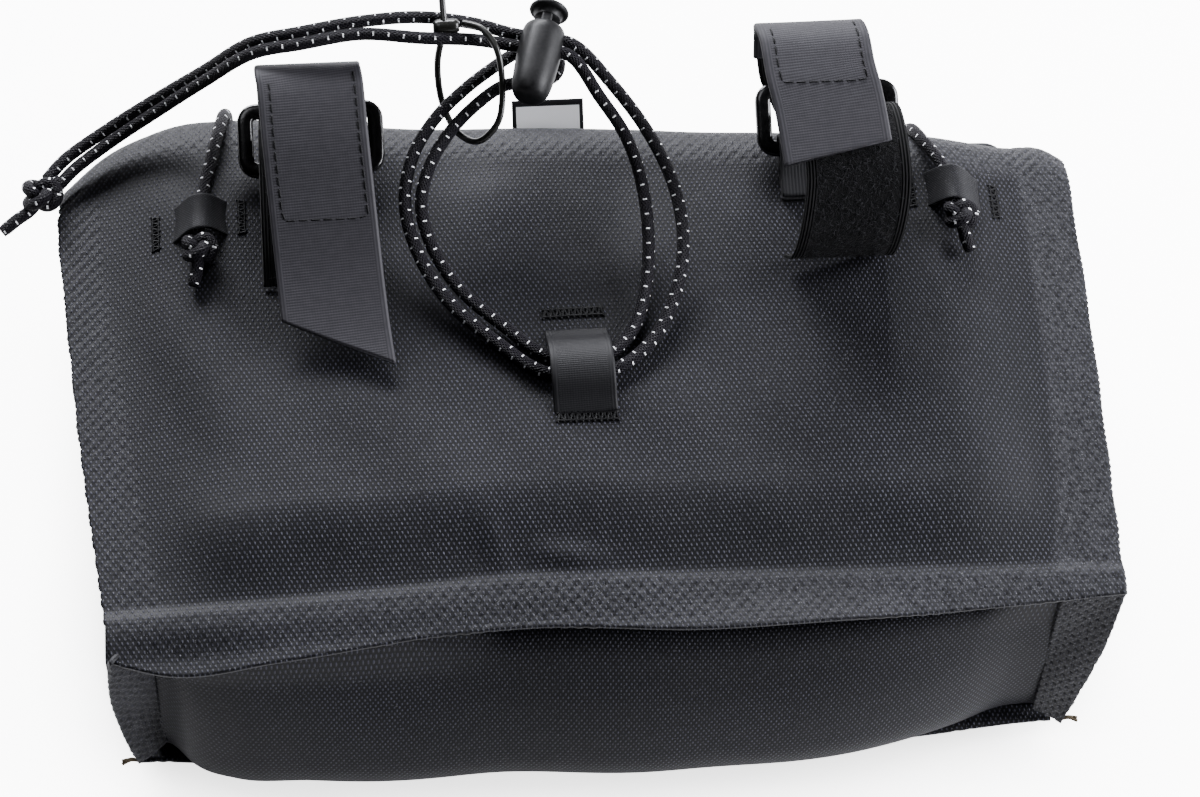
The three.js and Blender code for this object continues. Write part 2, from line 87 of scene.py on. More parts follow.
def through(points, value):
    """A smooth function of one number through (position, value) points."""
    at, values = np.array(points, float).T
    slopes = np.gradient(values, at)
    value = np.clip(value, at[0], at[-1])
    i = np.clip(np.searchsorted(at, value) - 1, 0, len(at) - 2)
    step = at[i + 1] - at[i]
    t = (value - at[i]) / step
    return (
        values[i] * (2 * t**3 - 3 * t**2 + 1)
        + values[i + 1] * (3 * t**2 - 2 * t**3)
        + slopes[i] * step * (t**3 - 2 * t**2 + t)
        + slopes[i + 1] * step * (t**3 - t**2)
    )


def smooth_line(points, steps):
    """Points along a centripetal Catmull-Rom curve, with that many steps for each stretch."""
    given = np.array(points, float)
    given = np.vstack((2 * given[0] - given[1], given, 2 * given[-1] - given[-2]))
    line = []
    for i in range(len(given) - 3):
        p = given[i : i + 4]
        knots = np.concatenate(([0], np.cumsum(np.sqrt(np.linalg.norm(np.diff(p, axis=0), axis=1)) + 1e-9)))
        last = i == len(given) - 4
        for t in np.linspace(knots[1], knots[2], steps + 1)[: None if last else -1]:
            a = [_mix(p[k], p[k + 1], knots[k], knots[k + 1], t) for k in range(3)]
            b = [_mix(a[k], a[k + 1], knots[k], knots[k + 2], t) for k in range(2)]
            line.append(_mix(b[0], b[1], knots[1], knots[2], t))
    return np.array(line)


def _mix(p, q, at_p, at_q, t):
    return (p * (at_q - t) + q * (t - at_p)) / (at_q - at_p)


def parts(line, count):
    """The same line cut into that many equal parts."""
    along = lengths(line)
    at = np.linspace(0, along[-1], count + 1)
    return np.stack([np.interp(at, along, line[:, k]) for k in range(line.shape[1])], axis=1)


def even(line, spacing):
    """The same line with its points about that far apart."""
    return parts(line, max(int(round(lengths(line)[-1] / spacing)), 2))


def lengths(line):
    """How far along the line each of its points is."""
    return np.concatenate(([0], np.cumsum(np.linalg.norm(np.diff(line, axis=0), axis=1))))


def add_surface(name, points, uv, material, body="bag", keep=None, closed=False, caps=False, weld_and_painted_light=None):
    """A smooth mesh from a grid of points (rows, columns, 3) in millimetres and its uv (rows, columns, 2).

    keep (rows - 1, columns - 1) leaves faces out; closed joins the last column, a copy of the first, to it.
    The weld mask argument (rows, columns) says how much lighter the welded cloth is painted, a little for
    dust and mostly as painted light; 0 elsewhere.
    """
    rows, columns = points.shape[:2]
    used = columns - 1 if closed else columns
    index = np.arange(rows * used).reshape(rows, used)
    if closed:
        index = np.hstack((index, index[:, :1]))
    low, high = slice(0, -1), slice(1, None)
    corners = [(low, low), (low, high), (high, high), (high, low)]
    faces = np.stack([index[c] for c in corners], axis=2)
    face_uv = np.stack([uv[c] for c in corners], axis=2)
    if keep is None:
        keep = np.ones(faces.shape[:2], bool)
    faces, face_uv = faces[keep], face_uv[keep]
    face_list, uv_list = faces.tolist(), face_uv.reshape(-1, 2)
    if caps:
        for row, turn in ((0, -1), (rows - 1, 1)):
            ring = index[row, :used][::turn]
            face_list.append(ring.tolist())
            uv_list = np.vstack((uv_list, uv[row, :used][::turn]))
    mesh = bpy.data.meshes.new(name)
    mesh.from_pydata((points[:, :used].reshape(-1, 3) * MM).tolist(), [], face_list)
    layer = mesh.uv_layers.new(name="cloth")
    layer.data.foreach_set("uv", np.ascontiguousarray(uv_list, float).ravel())
    if weld_and_painted_light is not None:
        attribute = mesh.attributes.new("weld_and_painted_light", "FLOAT", "POINT")
        attribute.data.foreach_set("value", np.ascontiguousarray(weld_and_painted_light[:, :used], float).ravel())
    mesh.polygons.foreach_set("use_smooth", [True] * len(mesh.polygons))
    mesh.materials.append(material)
    return place(bpy.data.objects.new(name, mesh), body)


def place(obj, body):
    bpy.context.collection.objects.link(obj)
    if body:
        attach(obj, body)
    return obj


def thicken(obj, thickness, offset=-1.0):
    """Gives a sheet its thickness in millimetres, on the back of its faces unless told otherwise."""
    modifier = obj.modifiers.new("thickness", "SOLIDIFY")
    modifier.thickness = thickness * MM
    modifier.offset = offset


def unit(vectors):
    return vectors / np.linalg.norm(vectors, axis=-1)[..., None]


def rings_round(line, angle):
    """Steps of length 1 at those angles round a line, from each of its points and without twisting."""
    tangent = unit(np.gradient(line, axis=0))
    side = np.cross(tangent[0], (0, 0, 1.0))
    if np.linalg.norm(side) < 0.1:
        side = np.cross(tangent[0], (0, 1.0, 0))
    sides = []
    for t in tangent:
        side = side - t * np.dot(side, t)
        side /= np.linalg.norm(side)
        sides.append(side)
    side = np.array(sides)
    other = np.cross(tangent, side)
    return side[:, None] * np.cos(angle)[None, :, None] + other[:, None] * np.sin(angle)[None, :, None]


def add_tube(name, line, radius, material, sides=14):
    """A round tube along a line. radius is one number, or one for each point."""
    angle = np.linspace(0, 2 * math.pi, sides + 1)
    radius = np.broadcast_to(np.asarray(radius, float), (len(line),))
    points = line[:, None] + rings_round(line, angle) * radius[:, None, None]
    u = np.broadcast_to(angle / (2 * math.pi), points.shape[:2])
    v = np.broadcast_to(lengths(line)[:, None], points.shape[:2])
    return add_surface(name, points, np.stack((u, v), axis=2), material, closed=True, caps=True)


# ---- materials

class Shader:
    """A material being built from nodes, starting from one Principled BSDF."""

    def __init__(self, name):
        self.material = bpy.data.materials.new(name)
        self.material.use_nodes = True
        self.tree = self.material.node_tree
        self.surface = self.tree.nodes["Principled BSDF"]

    def node(self, kind):
        return self.tree.nodes.new(f"ShaderNode{kind}")

    def put(self, socket, value):
        """Links or sets an input. A colour is a tuple of three numbers."""
        if isinstance(value, bpy.types.NodeSocket):
            self.tree.links.new(value, socket)
        elif isinstance(value, tuple):
            socket.default_value = (*value, 1)
        else:
            socket.default_value = value

    def math(self, operation, *values):
        node = self.node("Math")
        node.operation = operation
        for socket, value in zip(node.inputs, values):
            self.put(socket, value)
        return node.outputs[0]

    def times(self, first, second):
        return self.math("MULTIPLY", first, second)

    def plus(self, first, second):
        return self.math("ADD", first, second)

    def minus(self, first, second):
        return self.math("SUBTRACT", first, second)

    def wave(self, coordinate, pitch):
        """A sine with that pitch."""
        return self.math("SINE", self.times(coordinate, 2 * math.pi / pitch))

    def near(self, value, middle, reach):
        """1 where the value is within that reach of the middle, and 0 elsewhere."""
        return self.math("LESS_THAN", self.math("ABSOLUTE", self.minus(value, middle)), reach)

    def from_selvedge(self, u, width):
        """How far inside the nearer edge of a band of that width a place is."""
        return self.minus(width / 2, self.math("ABSOLUTE", u))

    def uv(self):
        """The two uv coordinates: millimetres on cloth and webbing, turns and millimetres on a cord."""
        node = self.node("UVMap")
        node.uv_map = "cloth"
        split = self.node("SeparateXYZ")
        self.tree.links.new(node.outputs[0], split.inputs[0])
        return split.outputs[0], split.outputs[1]

    def attribute(self, name):
        node = self.node("Attribute")
        node.attribute_name = name
        return node.outputs["Fac"]

    def noise(self, scale, detail=2.0, roughness=0.5):
        """Noise over the piece's own coordinates, scale in features per metre."""
        where = self.node("TexCoord")
        node = self.node("TexNoise")
        self.tree.links.new(where.outputs["Object"], node.inputs["Vector"])
        node.inputs["Scale"].default_value = scale
        node.inputs["Detail"].default_value = detail
        node.inputs["Roughness"].default_value = roughness
        return node.outputs[0]

    def ramp(self, value, low, high, to_low=0.0, to_high=1.0):
        node = self.node("MapRange")
        for socket, given in zip(node.inputs, (value, low, high, to_low, to_high)):
            self.put(socket, given)
        return node.outputs[0]

    def mix(self, share, first, second):
        node = self.node("Mix")
        node.data_type = "RGBA"
        color_a, color_b, color_out = node.inputs[6], node.inputs[7], node.outputs[2]
        self.put(node.inputs["Factor"], share)
        self.put(color_a, first)
        self.put(color_b, second)
        return color_out

    def bump(self, height, distance):
        """Bumps that stand that distance in millimetres where height is 1, added to any that are there."""
        node = self.node("Bump")
        node.inputs["Distance"].default_value = distance * MM
        self.put(node.inputs["Height"], height)
        normal = self.surface.inputs["Normal"]
        if normal.links:
            self.tree.links.new(normal.links[0].from_socket, node.inputs["Normal"])
        self.tree.links.new(node.outputs[0], normal)

    def finish(self, color, roughness, specular=0.5, sheen=0.0, metallic=0.0):
        inputs = {
            "Base Color": color,
            "Roughness": roughness,
            "Specular IOR Level": specular,
            "Sheen Weight": sheen,
            "Metallic": metallic,
        }
        for name, value in inputs.items():
            self.put(self.surface.inputs[name], value)
        return self.material


WELD_DUST_AND_PAINTED_LIGHT = 0.3  # how much lighter the welded bands and fins are painted: a little dust, and mostly painted light where the light falls on them


def woven(name, dark, light, warp=1.22, weft=2.0, roughness=0.55, specular=0.35, depth=0.12):
    """Coated plain weave: crowns of warp and weft in a chequered lattice, with slubs, lint specks, and welded
    bands painted lighter, a little for dust and mostly as painted light.
    """
    shader = Shader(name)
    u, v = shader.uv()
    slub = shader.noise(900, 2.0)
    crown = shader.times(shader.wave(u, warp), shader.wave(v, weft))
    crown = shader.ramp(crown, 0.2, 1.0)
    crown = shader.times(crown, shader.ramp(slub, 0.3, 0.7, 0.45, 1.25))
    worn = shader.ramp(shader.noise(26, 4.0, 0.6), 0.4, 0.7, 0.75, 1.2)
    speck = shader.ramp(shader.noise(2600, 1.0), 0.68, 0.76)
    color = shader.mix(shader.times(crown, worn), dark, light)
    weld_and_painted_light = shader.attribute("weld_and_painted_light")
    # painted light with a little dust: the welded bands and fins are mixed towards a lighter grey by their
    # weld mask
    dust_and_painted_light = shader.times(weld_and_painted_light, shader.ramp(slub, 0.3, 0.7, 0.0, WELD_DUST_AND_PAINTED_LIGHT))
    color = shader.mix(dust_and_painted_light, color, (0.038, 0.038, 0.042))
    # lint specks, with more of them in the welded bands, where they are partly painted glints on the weld
    # film
    speck = shader.times(speck, shader.ramp(weld_and_painted_light, 0.0, 1.0, 0.3, 0.55))
    color = shader.mix(speck, color, (0.16, 0.16, 0.17))
    shader.bump(crown, depth)
    shader.bump(shader.noise(160, 3.0), 0.12)
    return shader.finish(color, roughness, specular, sheen=0.05)


def shock_cord_material():
    """Braided cord: two staggered rows of white flecks on dark yarn. u goes once round, v is along it."""
    shader = Shader("shock_cord")
    u, v = shader.uv()
    fleck_rows = shader.math("FRACT", shader.times(u, 4.0))
    row = shader.math("FLOOR", shader.times(u, 4.0))
    stagger = shader.times(shader.math("MODULO", row, 2.0), 0.5)
    along = shader.math("FRACT", shader.plus(shader.math("DIVIDE", v, 3.6), stagger))
    across_ok = shader.near(fleck_rows, 0.5, 0.21)
    along_ok = shader.near(along, 0.5, 0.05)
    fleck = shader.times(across_ok, along_ok)
    turn = shader.times(u, 12.0)
    climb = shader.math("DIVIDE", v, 1.1)
    left = shader.wave(shader.plus(turn, climb), 1.0)
    right = shader.wave(shader.minus(turn, climb), 1.0)
    braid = shader.math("MAXIMUM", left, right)
    dark = shader.mix(shader.ramp(braid, -0.6, 1.0), (0.0008, 0.0006, 0.0012), (0.006, 0.005, 0.008))
    color = shader.mix(fleck, dark, (0.9, 0.9, 0.92))
    shader.bump(shader.plus(braid, shader.times(fleck, 0.6)), 0.14)
    return shader.finish(color, 0.55, 0.12)


def webbing_material(name, width, dark, light, pitch=0.95, roughness=0.6, specular=0.3, ribs_at=1.6):
    """Ribbed webbing: ribs across it, and a few fine lines along each selvedge."""
    shader = Shader(name)
    u, v = shader.uv()
    from_edge = shader.from_selvedge(u, width)
    selvedge = shader.math("LESS_THAN", from_edge, ribs_at)
    across = shader.wave(v, pitch)
    fine = shader.times(shader.wave(u, 0.62), 0.35)
    rib = shader.plus(across, fine)
    edge = shader.wave(u, 0.8)
    height = shader.plus(shader.times(edge, selvedge), shader.times(rib, shader.minus(1.0, selvedge)))
    shade = shader.ramp(height, -1.2, 1.2)
    shade = shader.times(shade, shader.ramp(shader.noise(500, 3.0), 0.3, 0.7, 0.6, 1.3))
    color = shader.mix(shade, dark, light)
    shader.bump(height, 0.016)
    shader.bump(shader.noise(900, 2.0), 0.03)
    return shader.finish(color, roughness, specular)


def fuzzy_material(width):
    """Loop tape: a matted pile between smooth ribbed selvedges."""
    shader = Shader("strap_loop_tape")
    u, _ = shader.uv()
    from_edge = shader.from_selvedge(u, width)
    pile = shader.ramp(from_edge, 2.2, 2.9)
    tangle = shader.noise(1500, 4.0, 0.75)
    selvedge = shader.wave(u, 0.75)
    tufts = shader.times(shader.times(tangle, 3.0), pile)
    height = shader.plus(tufts, shader.times(selvedge, shader.minus(1.0, pile)))
    glint = shader.times(shader.ramp(tangle, 0.55, 0.75), pile)
    color = shader.mix(glint, (0.0008, 0.0008, 0.0012), (0.009, 0.009, 0.011))
    shader.bump(height, 0.35)
    return shader.finish(color, 0.85, 0.08, sheen=0.05)


def plain_material(
    name, color, roughness, specular=0.5, grain=0.02, grain_scale=1500, metallic=0.0, wear=0.15
):
    """A moulded or metal finish with a fine grain and a little uneven wear."""
    shader = Shader(name)
    worn = shader.ramp(shader.noise(140, 4.0, 0.6), 0.35, 0.7, 1 - wear, 1 + wear)
    lighter = tuple(min(c * 1.5 + 0.004, 1) for c in color)
    tone = shader.mix(shader.ramp(shader.noise(grain_scale, 2.0), 0.35, 0.75), color, lighter)
    shader.bump(shader.noise(grain_scale, 3.0), grain)
    return shader.finish(tone, shader.times(worn, roughness), specular, metallic=metallic)


def thread_material():
    """Bonded thread with a fine twist."""
    shader = Shader("thread")
    color = shader.mix(shader.noise(3000, 2.0), (0.0006, 0.0006, 0.0008), (0.004, 0.004, 0.005))
    shader.bump(shader.noise(3500, 1.0), 0.05)
    return shader.finish(color, 0.5, 0.14)


def hook_material():
    """Hook tape: rows of small stiff hooks."""
    shader = Shader("hook_tape")
    u, v = shader.uv()
    columns = shader.ramp(shader.wave(u, 1.3), 0.2, 1.0)
    hooks = shader.times(columns, shader.ramp(shader.wave(v, 1.1), 0.0, 1.0))
    color = shader.mix(hooks, (0.002, 0.002, 0.002), (0.02, 0.02, 0.02))
    shader.bump(hooks, 0.4)
    return shader.finish(color, 0.5, 0.3)


def label_material(width, length):
    """A white woven label with a dark edge, and nothing written on it."""
    shader = Shader("label_cloth")
    u, v = shader.uv()
    side = shader.math("LESS_THAN", shader.math("ABSOLUTE", u), width / 2 - 1.0)
    end = shader.math("LESS_THAN", v, length - 1.6)
    field = shader.times(side, end)
    thread = shader.ramp(shader.times(shader.wave(u, 0.5), shader.wave(v, 0.5)), -1, 1, 0.8, 1.0)
    white = shader.mix(thread, (0.5, 0.5, 0.51), (0.85, 0.85, 0.86))
    color = shader.mix(field, (0.003, 0.003, 0.004), white)
    shader.bump(thread, 0.05)
    return shader.finish(color, 0.7, 0.2)


# ---- the floor and the lights

FLOOR_GLOW = 9.0  # the photo studio's floor is lit to white; only the camera sees this part of it
FLOOR_Z = -0.0006
COOL = (0.94, 0.95, 1.0)  # the softboxes' colour
LIGHTS_AIM = (0, 0, 0.04)  # the middle of the bag, in metres
SHADOW_GLOW, SHADOW_REACH = 2.2, 0.03  # the glow left right beside the bag, and how far the shade reaches


def add_stage():
    shader = Shader("floor")
    shader.surface.inputs["Emission Color"].default_value = (1, 1, 1, 1)
    seen = shader.node("LightPath").outputs["Is Camera Ray"]
    near = shader.node("AmbientOcclusion")
    near.inputs["Distance"].default_value = SHADOW_REACH
    near.samples = 8
    open_sky = shader.ramp(near.outputs["AO"], 0.45, 0.95, SHADOW_GLOW, FLOOR_GLOW)
    shader.put(shader.surface.inputs["Emission Strength"], shader.times(seen, open_sky))
    material = shader.finish((0.93, 0.92, 0.91), 0.6, 0.1)
    mesh = bpy.data.meshes.new("floor")
    reach = 6.0
    corners = [(x * reach, y * reach, FLOOR_Z) for x, y in ((-1, -1), (1, -1), (1, 1), (-1, 1))]
    mesh.from_pydata(corners, [], [(0, 1, 2, 3)])
    mesh.materials.append(material)
    place(bpy.data.objects.new("floor", mesh), None)


def add_light(name, position, size, power):
    light = bpy.data.lights.new(name, "AREA")
    light.shape = "RECTANGLE"
    light.size, light.size_y = size
    light.energy = power
    light.color = COOL
    obj = bpy.data.objects.new(name, light)
    obj.location = position
    obj.rotation_euler = (Vector(LIGHTS_AIM) - Vector(position)).to_track_quat("-Z", "Y").to_euler()
    bpy.context.collection.objects.link(obj)


def add_lights():
    world = bpy.data.worlds.new("studio")
    world.use_nodes = True
    background = world.node_tree.nodes["Background"]
    background.inputs["Color"].default_value = (0.92, 0.94, 1.0, 1)
    background.inputs["Strength"].default_value = 0.38
    add_light("softbox_behind", (-0.3, 1.4, 0.8), (1.4, 0.4), 95)
    add_light("softbox_right", (1.3, 0.1, 0.7), (0.8, 0.8), 58)
    add_light("softbox_above", (-0.5, 0.1, 1.5), (0.6, 0.6), 4)
    add_light("softbox_front", (1.3, -0.7, 0.5), (0.6, 0.4), 21)


# ---- the fabric shell

CLOTH = 0.9  # how thick the shell's cloth is
FLANGE_Z = 64.0
# Outlines of the back panel and its seams, as (y, x) along the sides and (x, y) along the bottom.
LEFT_EDGE = [(-66, -113.5), (0, -121), (30, -123.5), (48, -125), (64, -124)]
RIGHT_EDGE = [(-66, 118), (16, 120.5), (64, 121)]
BOTTOM_EDGE = [
    (-114, -65.5), (-102, -69), (-75, -67.5), (-36, -63), (-16, -62.5), (20, -65.5), (60, -65), (118, -62),
]
BOTTOM_SEAM = [(-114, -55.5), (-45, -52.5), (-24, -51), (20, -52.5), (118, -56)]
LEFT_SEAM = [(-66, -100), (-41, -104), (14, -111.5), (42, -115), (64, -116)]
RIGHT_SEAM = [(-66, 100), (-43, 105), (-17, 107.5), (50, 108.5), (64, 108)]
# How far the top edge reaches, as (x, y) seen at the flange's height.
TOP_REACH = [
    (-125, 64), (-115, 74), (-102, 79.5), (-84, 81), (-45, 76.5),
    (8, 74), (60, 69.5), (106, 66.5), (117, 65.5), (121.5, 62),
]
# The top edge's roll: how far short of the edge it starts, over what length it bends, and how far it drops.
ROLL_START, ROLL_RADIUS, ROLL_DROP = 14.1, 12.6, 7.5
ROLL_END = 1.8  # where the back panel's cloth meets the top gusset's, short of the top edge


def weld(u, v, pitch=3.2, depth=0.45):
    """The diamond dimples that the welding roller leaves: a lattice of small dents."""
    dent = np.cos(2 * math.pi * u / pitch) * np.cos(2 * math.pi * v / pitch)
    return -depth * smooth(0.25, 0.9, dent)


def ripple(x, y):
    """Slow undulations of the cloth."""
    return (
        0.35 * np.sin(x / 19 + 0.7) * np.sin(y / 15 - 0.4)
        + 0.22 * np.sin(x / 9.5 - y / 13 + 1.1)
        + 0.12 * np.sin(x / 5.1 + y / 6.3)
    )


def dent(x, y, centre, size, depth, turn=0.0):
    """A smooth hollow, or a swelling where depth is negative."""
    angle = math.radians(turn)
    dx, dy = x - centre[0], y - centre[1]
    along = (dx * math.cos(angle) + dy * math.sin(angle)) / size[0]
    across = (dy * math.cos(angle) - dx * math.sin(angle)) / size[1]
    return -depth * np.exp(-(along**2) - across**2)


# Broad shallow swells (negative) and hollows of the back panel's cloth: centre, size, depth.
SOFT_DENTS = [
    ((-20, 50), (11, 9), -1.0), ((10, 44), (7, 22), 0.8), ((-70, -20), (20, 14), 0.6),
    ((-88, 52), (16, 12), -1.1), ((60, -30), (26, 10), 0.6), ((30, -10), (30, 12), -0.5),
]


def from_seams(x, y):
    """How far a place on the back panel is inside its left, right and bottom seams."""
    return x - through(LEFT_SEAM, y), through(RIGHT_SEAM, y) - x, y - through(BOTTOM_SEAM, x)


def back_weld_and_painted_light(x, y):
    """Above 0 in the welded bands round the back panel and along its rolled top, more so to the right, and 0
    on its open cloth: a little dust, and painted light where the light from the right and from behind falls.
    """
    inside = np.minimum.reduce(from_seams(x, y))
    roll = through(TOP_REACH, x) - ROLL_START
    # painted light: the bands are painted lighter towards the right, where the light comes from, and the band
    # along the roll stands in for the roll's highlight
    painted_light_to_right = np.interp(x, (-110, 110), (0.6, 1.9))
    return painted_light_to_right * np.maximum(smooth(2, -1, inside), smooth(0, 4, y - roll + 2))


def back_height(x, y):
    """Height of the back panel's outer face."""
    left, right, bottom = from_seams(x, y)
    inside = np.minimum.reduce((left, right, bottom))
    crown = 5.2 * smooth(-3, 26, np.minimum(left, right)) * smooth(-2, 24, bottom)
    roll = through(TOP_REACH, x) - ROLL_START
    over = np.clip((y - roll) / ROLL_RADIUS, 0, 0.99)
    height = FLANGE_Z + crown - ROLL_DROP * (1 - np.sqrt(1 - over**2))
    height += ripple(x, y) * smooth(0, 18, inside)
    in_weld = smooth(1.5, -0.5, inside) * (1 - smooth(10.5, 12, -inside))
    strong = 0.55 + 0.6 * np.exp(-(((x + 8) / 30) ** 2)) * smooth(2, -2, bottom)
    height += weld(x + 0.35 * np.sin(y / 7), y) * in_weld * strong
    height += dent(x, y, (-26, -41), (3, 8), -0.55, 14) + dent(x, y, (-9, -45.5), (8, 3), -0.9, -8)
    for centre, size, depth in SOFT_DENTS:
        height += dent(x, y, centre, size, depth)
    lip = smooth(-3, -12, bottom)
    height += lip * (1.8 * np.exp(-(((x - 45) / 45) ** 2)) - 1.2 * np.exp(-(((x + 95) / 16) ** 2)))
    height += 0.9 * smooth(3, -1, bottom) * smooth(-11, -3, bottom)
    band = smooth(0, 2, y - roll + 1) * smooth(12, 10, y - roll)
    height += weld(x, y, 3.4, 0.35) * band
    return height


def add_back_panel(material):
    columns, rows, half_width = 380, 210, 119
    s, t = np.meshgrid(np.linspace(0, 1, columns), np.linspace(0, 1, rows))
    x = -half_width + 2 * half_width * s
    for _ in range(3):
        low = through(BOTTOM_EDGE, x)
        high = through(TOP_REACH, x) - ROLL_END
        y = low + (high - low) * t
        x = through(LEFT_EDGE, y) * (1 - s) + through(RIGHT_EDGE, y) * s
    frayed = 0.25 * np.sin(y * 5.1) * np.sin(y * 1.7 + 1) + 0.15 * np.sin(y * 11)
    x = x + frayed * (smooth(0.004, 0, s) - smooth(0.996, 1, s))
    z = back_height(x, y)
    points, uv = np.stack((x, y, z), axis=2), np.stack((x, y), axis=2)
    sheet = add_surface("back_panel_cloth", points, uv, material, weld_and_painted_light=back_weld_and_painted_light(x, y))
    thicken(sheet, CLOTH)
    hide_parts("back_panel")


def profile(points, count):
    """(count, 2) points along a smooth line in a plane."""
    line = smooth_line([(*p, 0) for p in points], 12)
    return even(line, lengths(line)[-1] / (count - 1))[:count, :2]


def add_bottom_gusset(material):
    """The gusset bulges out below the bottom seam by its reach, with one shape of section all along."""
    reach = [
        (-108, 6), (-103, 8), (-98, 14), (-88, 19.5), (-70, 22),
        (-29, 24.5), (15, 26), (45, 24), (84, 14.5), (96, 9.5), (108, 8.5),
    ]
    section = [
        (0.0, 62.3), (-0.02, 55), (0.05, 51), (0.17, 52.2), (0.29, 53.6), (0.42, 51.6), (0.6, 44.5),
        (0.78, 36), (0.93, 26), (1.0, 17.5), (0.95, 11), (0.78, 8), (0.45, 10.4), (0.0, 10.8),
    ]
    columns, rows, half_width, drawn_reach = 300, 90, 107.5, 33
    x = np.linspace(-half_width, half_width, columns)
    line = profile([(share * drawn_reach, z) for share, z in section], rows)
    depth = through(reach, x)
    points = np.empty((rows, columns, 3))
    points[..., 0] = x[None, :]
    out = line[:, 0] / drawn_reach
    swell = 1 + 0.02 * np.sin(x[None, :] / 17 + out[:, None] * 3)
    swell = swell + 0.012 * np.sin(x[None, :] / 8.5 - out[:, None] * 5)
    points[..., 1] = through(BOTTOM_SEAM, x)[None, :] - out[:, None] * depth[None, :] * swell
    points[..., 2] = line[:, 1][:, None] + 0.8 * np.sin(x[None, :] / 13 + 2) * np.sin(out[:, None] * math.pi)
    near_flange = smooth(46, 53, line[:, 1])[:, None] * smooth(0.7, 0.3, out)[:, None]
    touching = smooth(-22, -52, x) + smooth(84, 100, x)
    points[..., 2] += near_flange * smooth(-0.02, 0.1, out)[:, None] * (8.5 * touching)[None, :]
    v = np.broadcast_to(lengths(np.column_stack((line, line[:, 0] * 0)))[:, None], (rows, columns))
    uv = np.stack((points[..., 0], -v), axis=2)
    sheet = add_surface("bottom_gusset_cloth", points, uv, material)
    thicken(sheet, CLOTH, 1.0)
    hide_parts("bottom_gusset")


ZIP_FACE, ZIP_MIDDLE = 72.0, 36  # how far up the bag the zip's face is, and the height that it runs at
SLOT_LOW, SLOT_HIGH, SLOT_REACH = 28.5, 43.5, 89.6  # the opening in the top gusset that the zip's tapes fill


def add_top_gusset(material):
    """One column of cloth at a time, from the rolled top edge over the zip's face to the front panel."""
    columns, rows, half_width = 300, 100, 108
    left_reach, right_reach, end_face, front_edge = 124.4, 120.8, 60, 58
    grid, uv = np.empty((rows, columns, 3)), np.empty((rows, columns, 2))
    for j, share in enumerate(np.linspace(-1, 1, columns)):
        x_top = share * (left_reach if share < 0 else right_reach)
        reach = through(TOP_REACH, x_top)
        start = reach - ROLL_END
        z_start = float(back_height(np.array(x_top), np.array(start)))
        end = 1 - smooth(0.88, 1.0, abs(share))
        face = end_face + (ZIP_FACE - end_face) * float(end)
        fuller = float(smooth(73, 80, reach))
        shape = [
            (start, z_start - 0.2),
            (start + 1.3, z_start - 4),
            (max(reach - 0.6, face - 2.4), 54),
            (face + 3 * fuller * float(end), 48),
            (face, SLOT_HIGH),
            (face, ZIP_MIDDLE),
            (face, SLOT_LOW),
            (front_edge + (face - front_edge) * 0.86, 18),
            (front_edge, 10.2),
        ]
        line = profile(shape, rows)
        width = half_width + (abs(x_top / share) - half_width) * smooth(34, 62, line[:, 1])
        grid[:, j, 0] = share * width
        grid[:, j, 1:] = line
        uv[:, j, 0] = share * width
        uv[:, j, 1] = lengths(np.column_stack((line, line[:, 0] * 0)))
    wave = 0.5 * np.sin(grid[..., 0] / 9 + grid[..., 2] / 11)
    grid[..., 1] += wave * smooth(64, 58, grid[..., 2]) * smooth(44, 50, grid[..., 2])
    middle = (grid[:-1, :-1] + grid[1:, 1:]) / 2
    slot = (np.abs(middle[..., 0]) < SLOT_REACH) & (middle[..., 2] > SLOT_LOW) & (middle[..., 2] < SLOT_HIGH)
    sheet = add_surface("top_gusset_cloth", grid, uv, material, keep=~slot)
    thicken(sheet, CLOTH)
    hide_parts("top_gusset")


# ---- the cords

BUNGEE_ROUTE = [
    (-127.3, 62.0, 66.8), (-122.9, 67.0, 67.5), (-112.8, 73.3, 70), (-101.2, 77.5, 75.5), (-88.2, 79.2, 85),
    (-76.2, 78.8, 96.5), (-64.8, 78.8, 99.8), (-50.6, 80.2, 101.2), (-36.4, 80.8, 101.2), (-24, 79.6, 99.6),
    (-14.5, 77.2, 98), (-7.5, 75.4, 98), (-0.5, 73.5, 98), (8.2, 65.6, 92.8), (16.9, 54.4, 86.5),
    (21.9, 43.2, 81.5), (23.3, 31, 77.3), (20.9, 18.9, 74), (14.6, 7.2, 71.6), (5.5, 0.2, 70.9),
    (-3, -0.5, 70.8), (-11.5, -0.1, 70.9), (-22.4, 8.4, 71.5), (-32.9, 18.6, 73.5), (-39.6, 30.5, 77),
    (-42, 41.4, 81), (-40, 51, 85), (-34.6, 59.6, 88), (-27, 66.8, 90), (-19, 72.9, 90.9),
    (-13.5, 76.6, 90.9), (-8.5, 78, 90.9), (-4.9, 76.5, 90.9), (-3.5, 73, 90.9), (-4.9, 69.5, 90.9),
    (-8.5, 68, 90.9), (-13, 67.9, 90.9), (-17.4, 67.2, 90.9), (-24.2, 62.6, 90), (-31.2, 55.8, 88),
    (-36, 48.6, 85), (-38.2, 40.8, 81), (-36, 31.5, 77), (-29.8, 21.6, 73.5), (-20, 12.2, 71.5),
    (-10.6, 4.2, 70.9), (-3, 3.1, 70.8), (3.6, 3.9, 70.9), (9.6, 9.4, 71.5), (13.8, 20.5, 73.6),
    (15.2, 34.5, 77.6), (14, 46.5, 82), (11, 54.4, 87), (5.2, 62, 92.6), (-1.4, 70.2, 98),
    (-8.4, 72.1, 98), (-15.4, 74, 98), (-24, 74.8, 99.6), (-36.4, 74.8, 101.2), (-50.6, 76.6, 101.2),
    (-64.8, 75.4, 99.8), (-76, 75.4, 96.9), (-88.2, 75.8, 85.5), (-100.4, 74.1, 75.8), (-111, 70.3, 70.2),
    (-120.4, 64.4, 67.4), (-124.7, 59.8, 66.8),
]
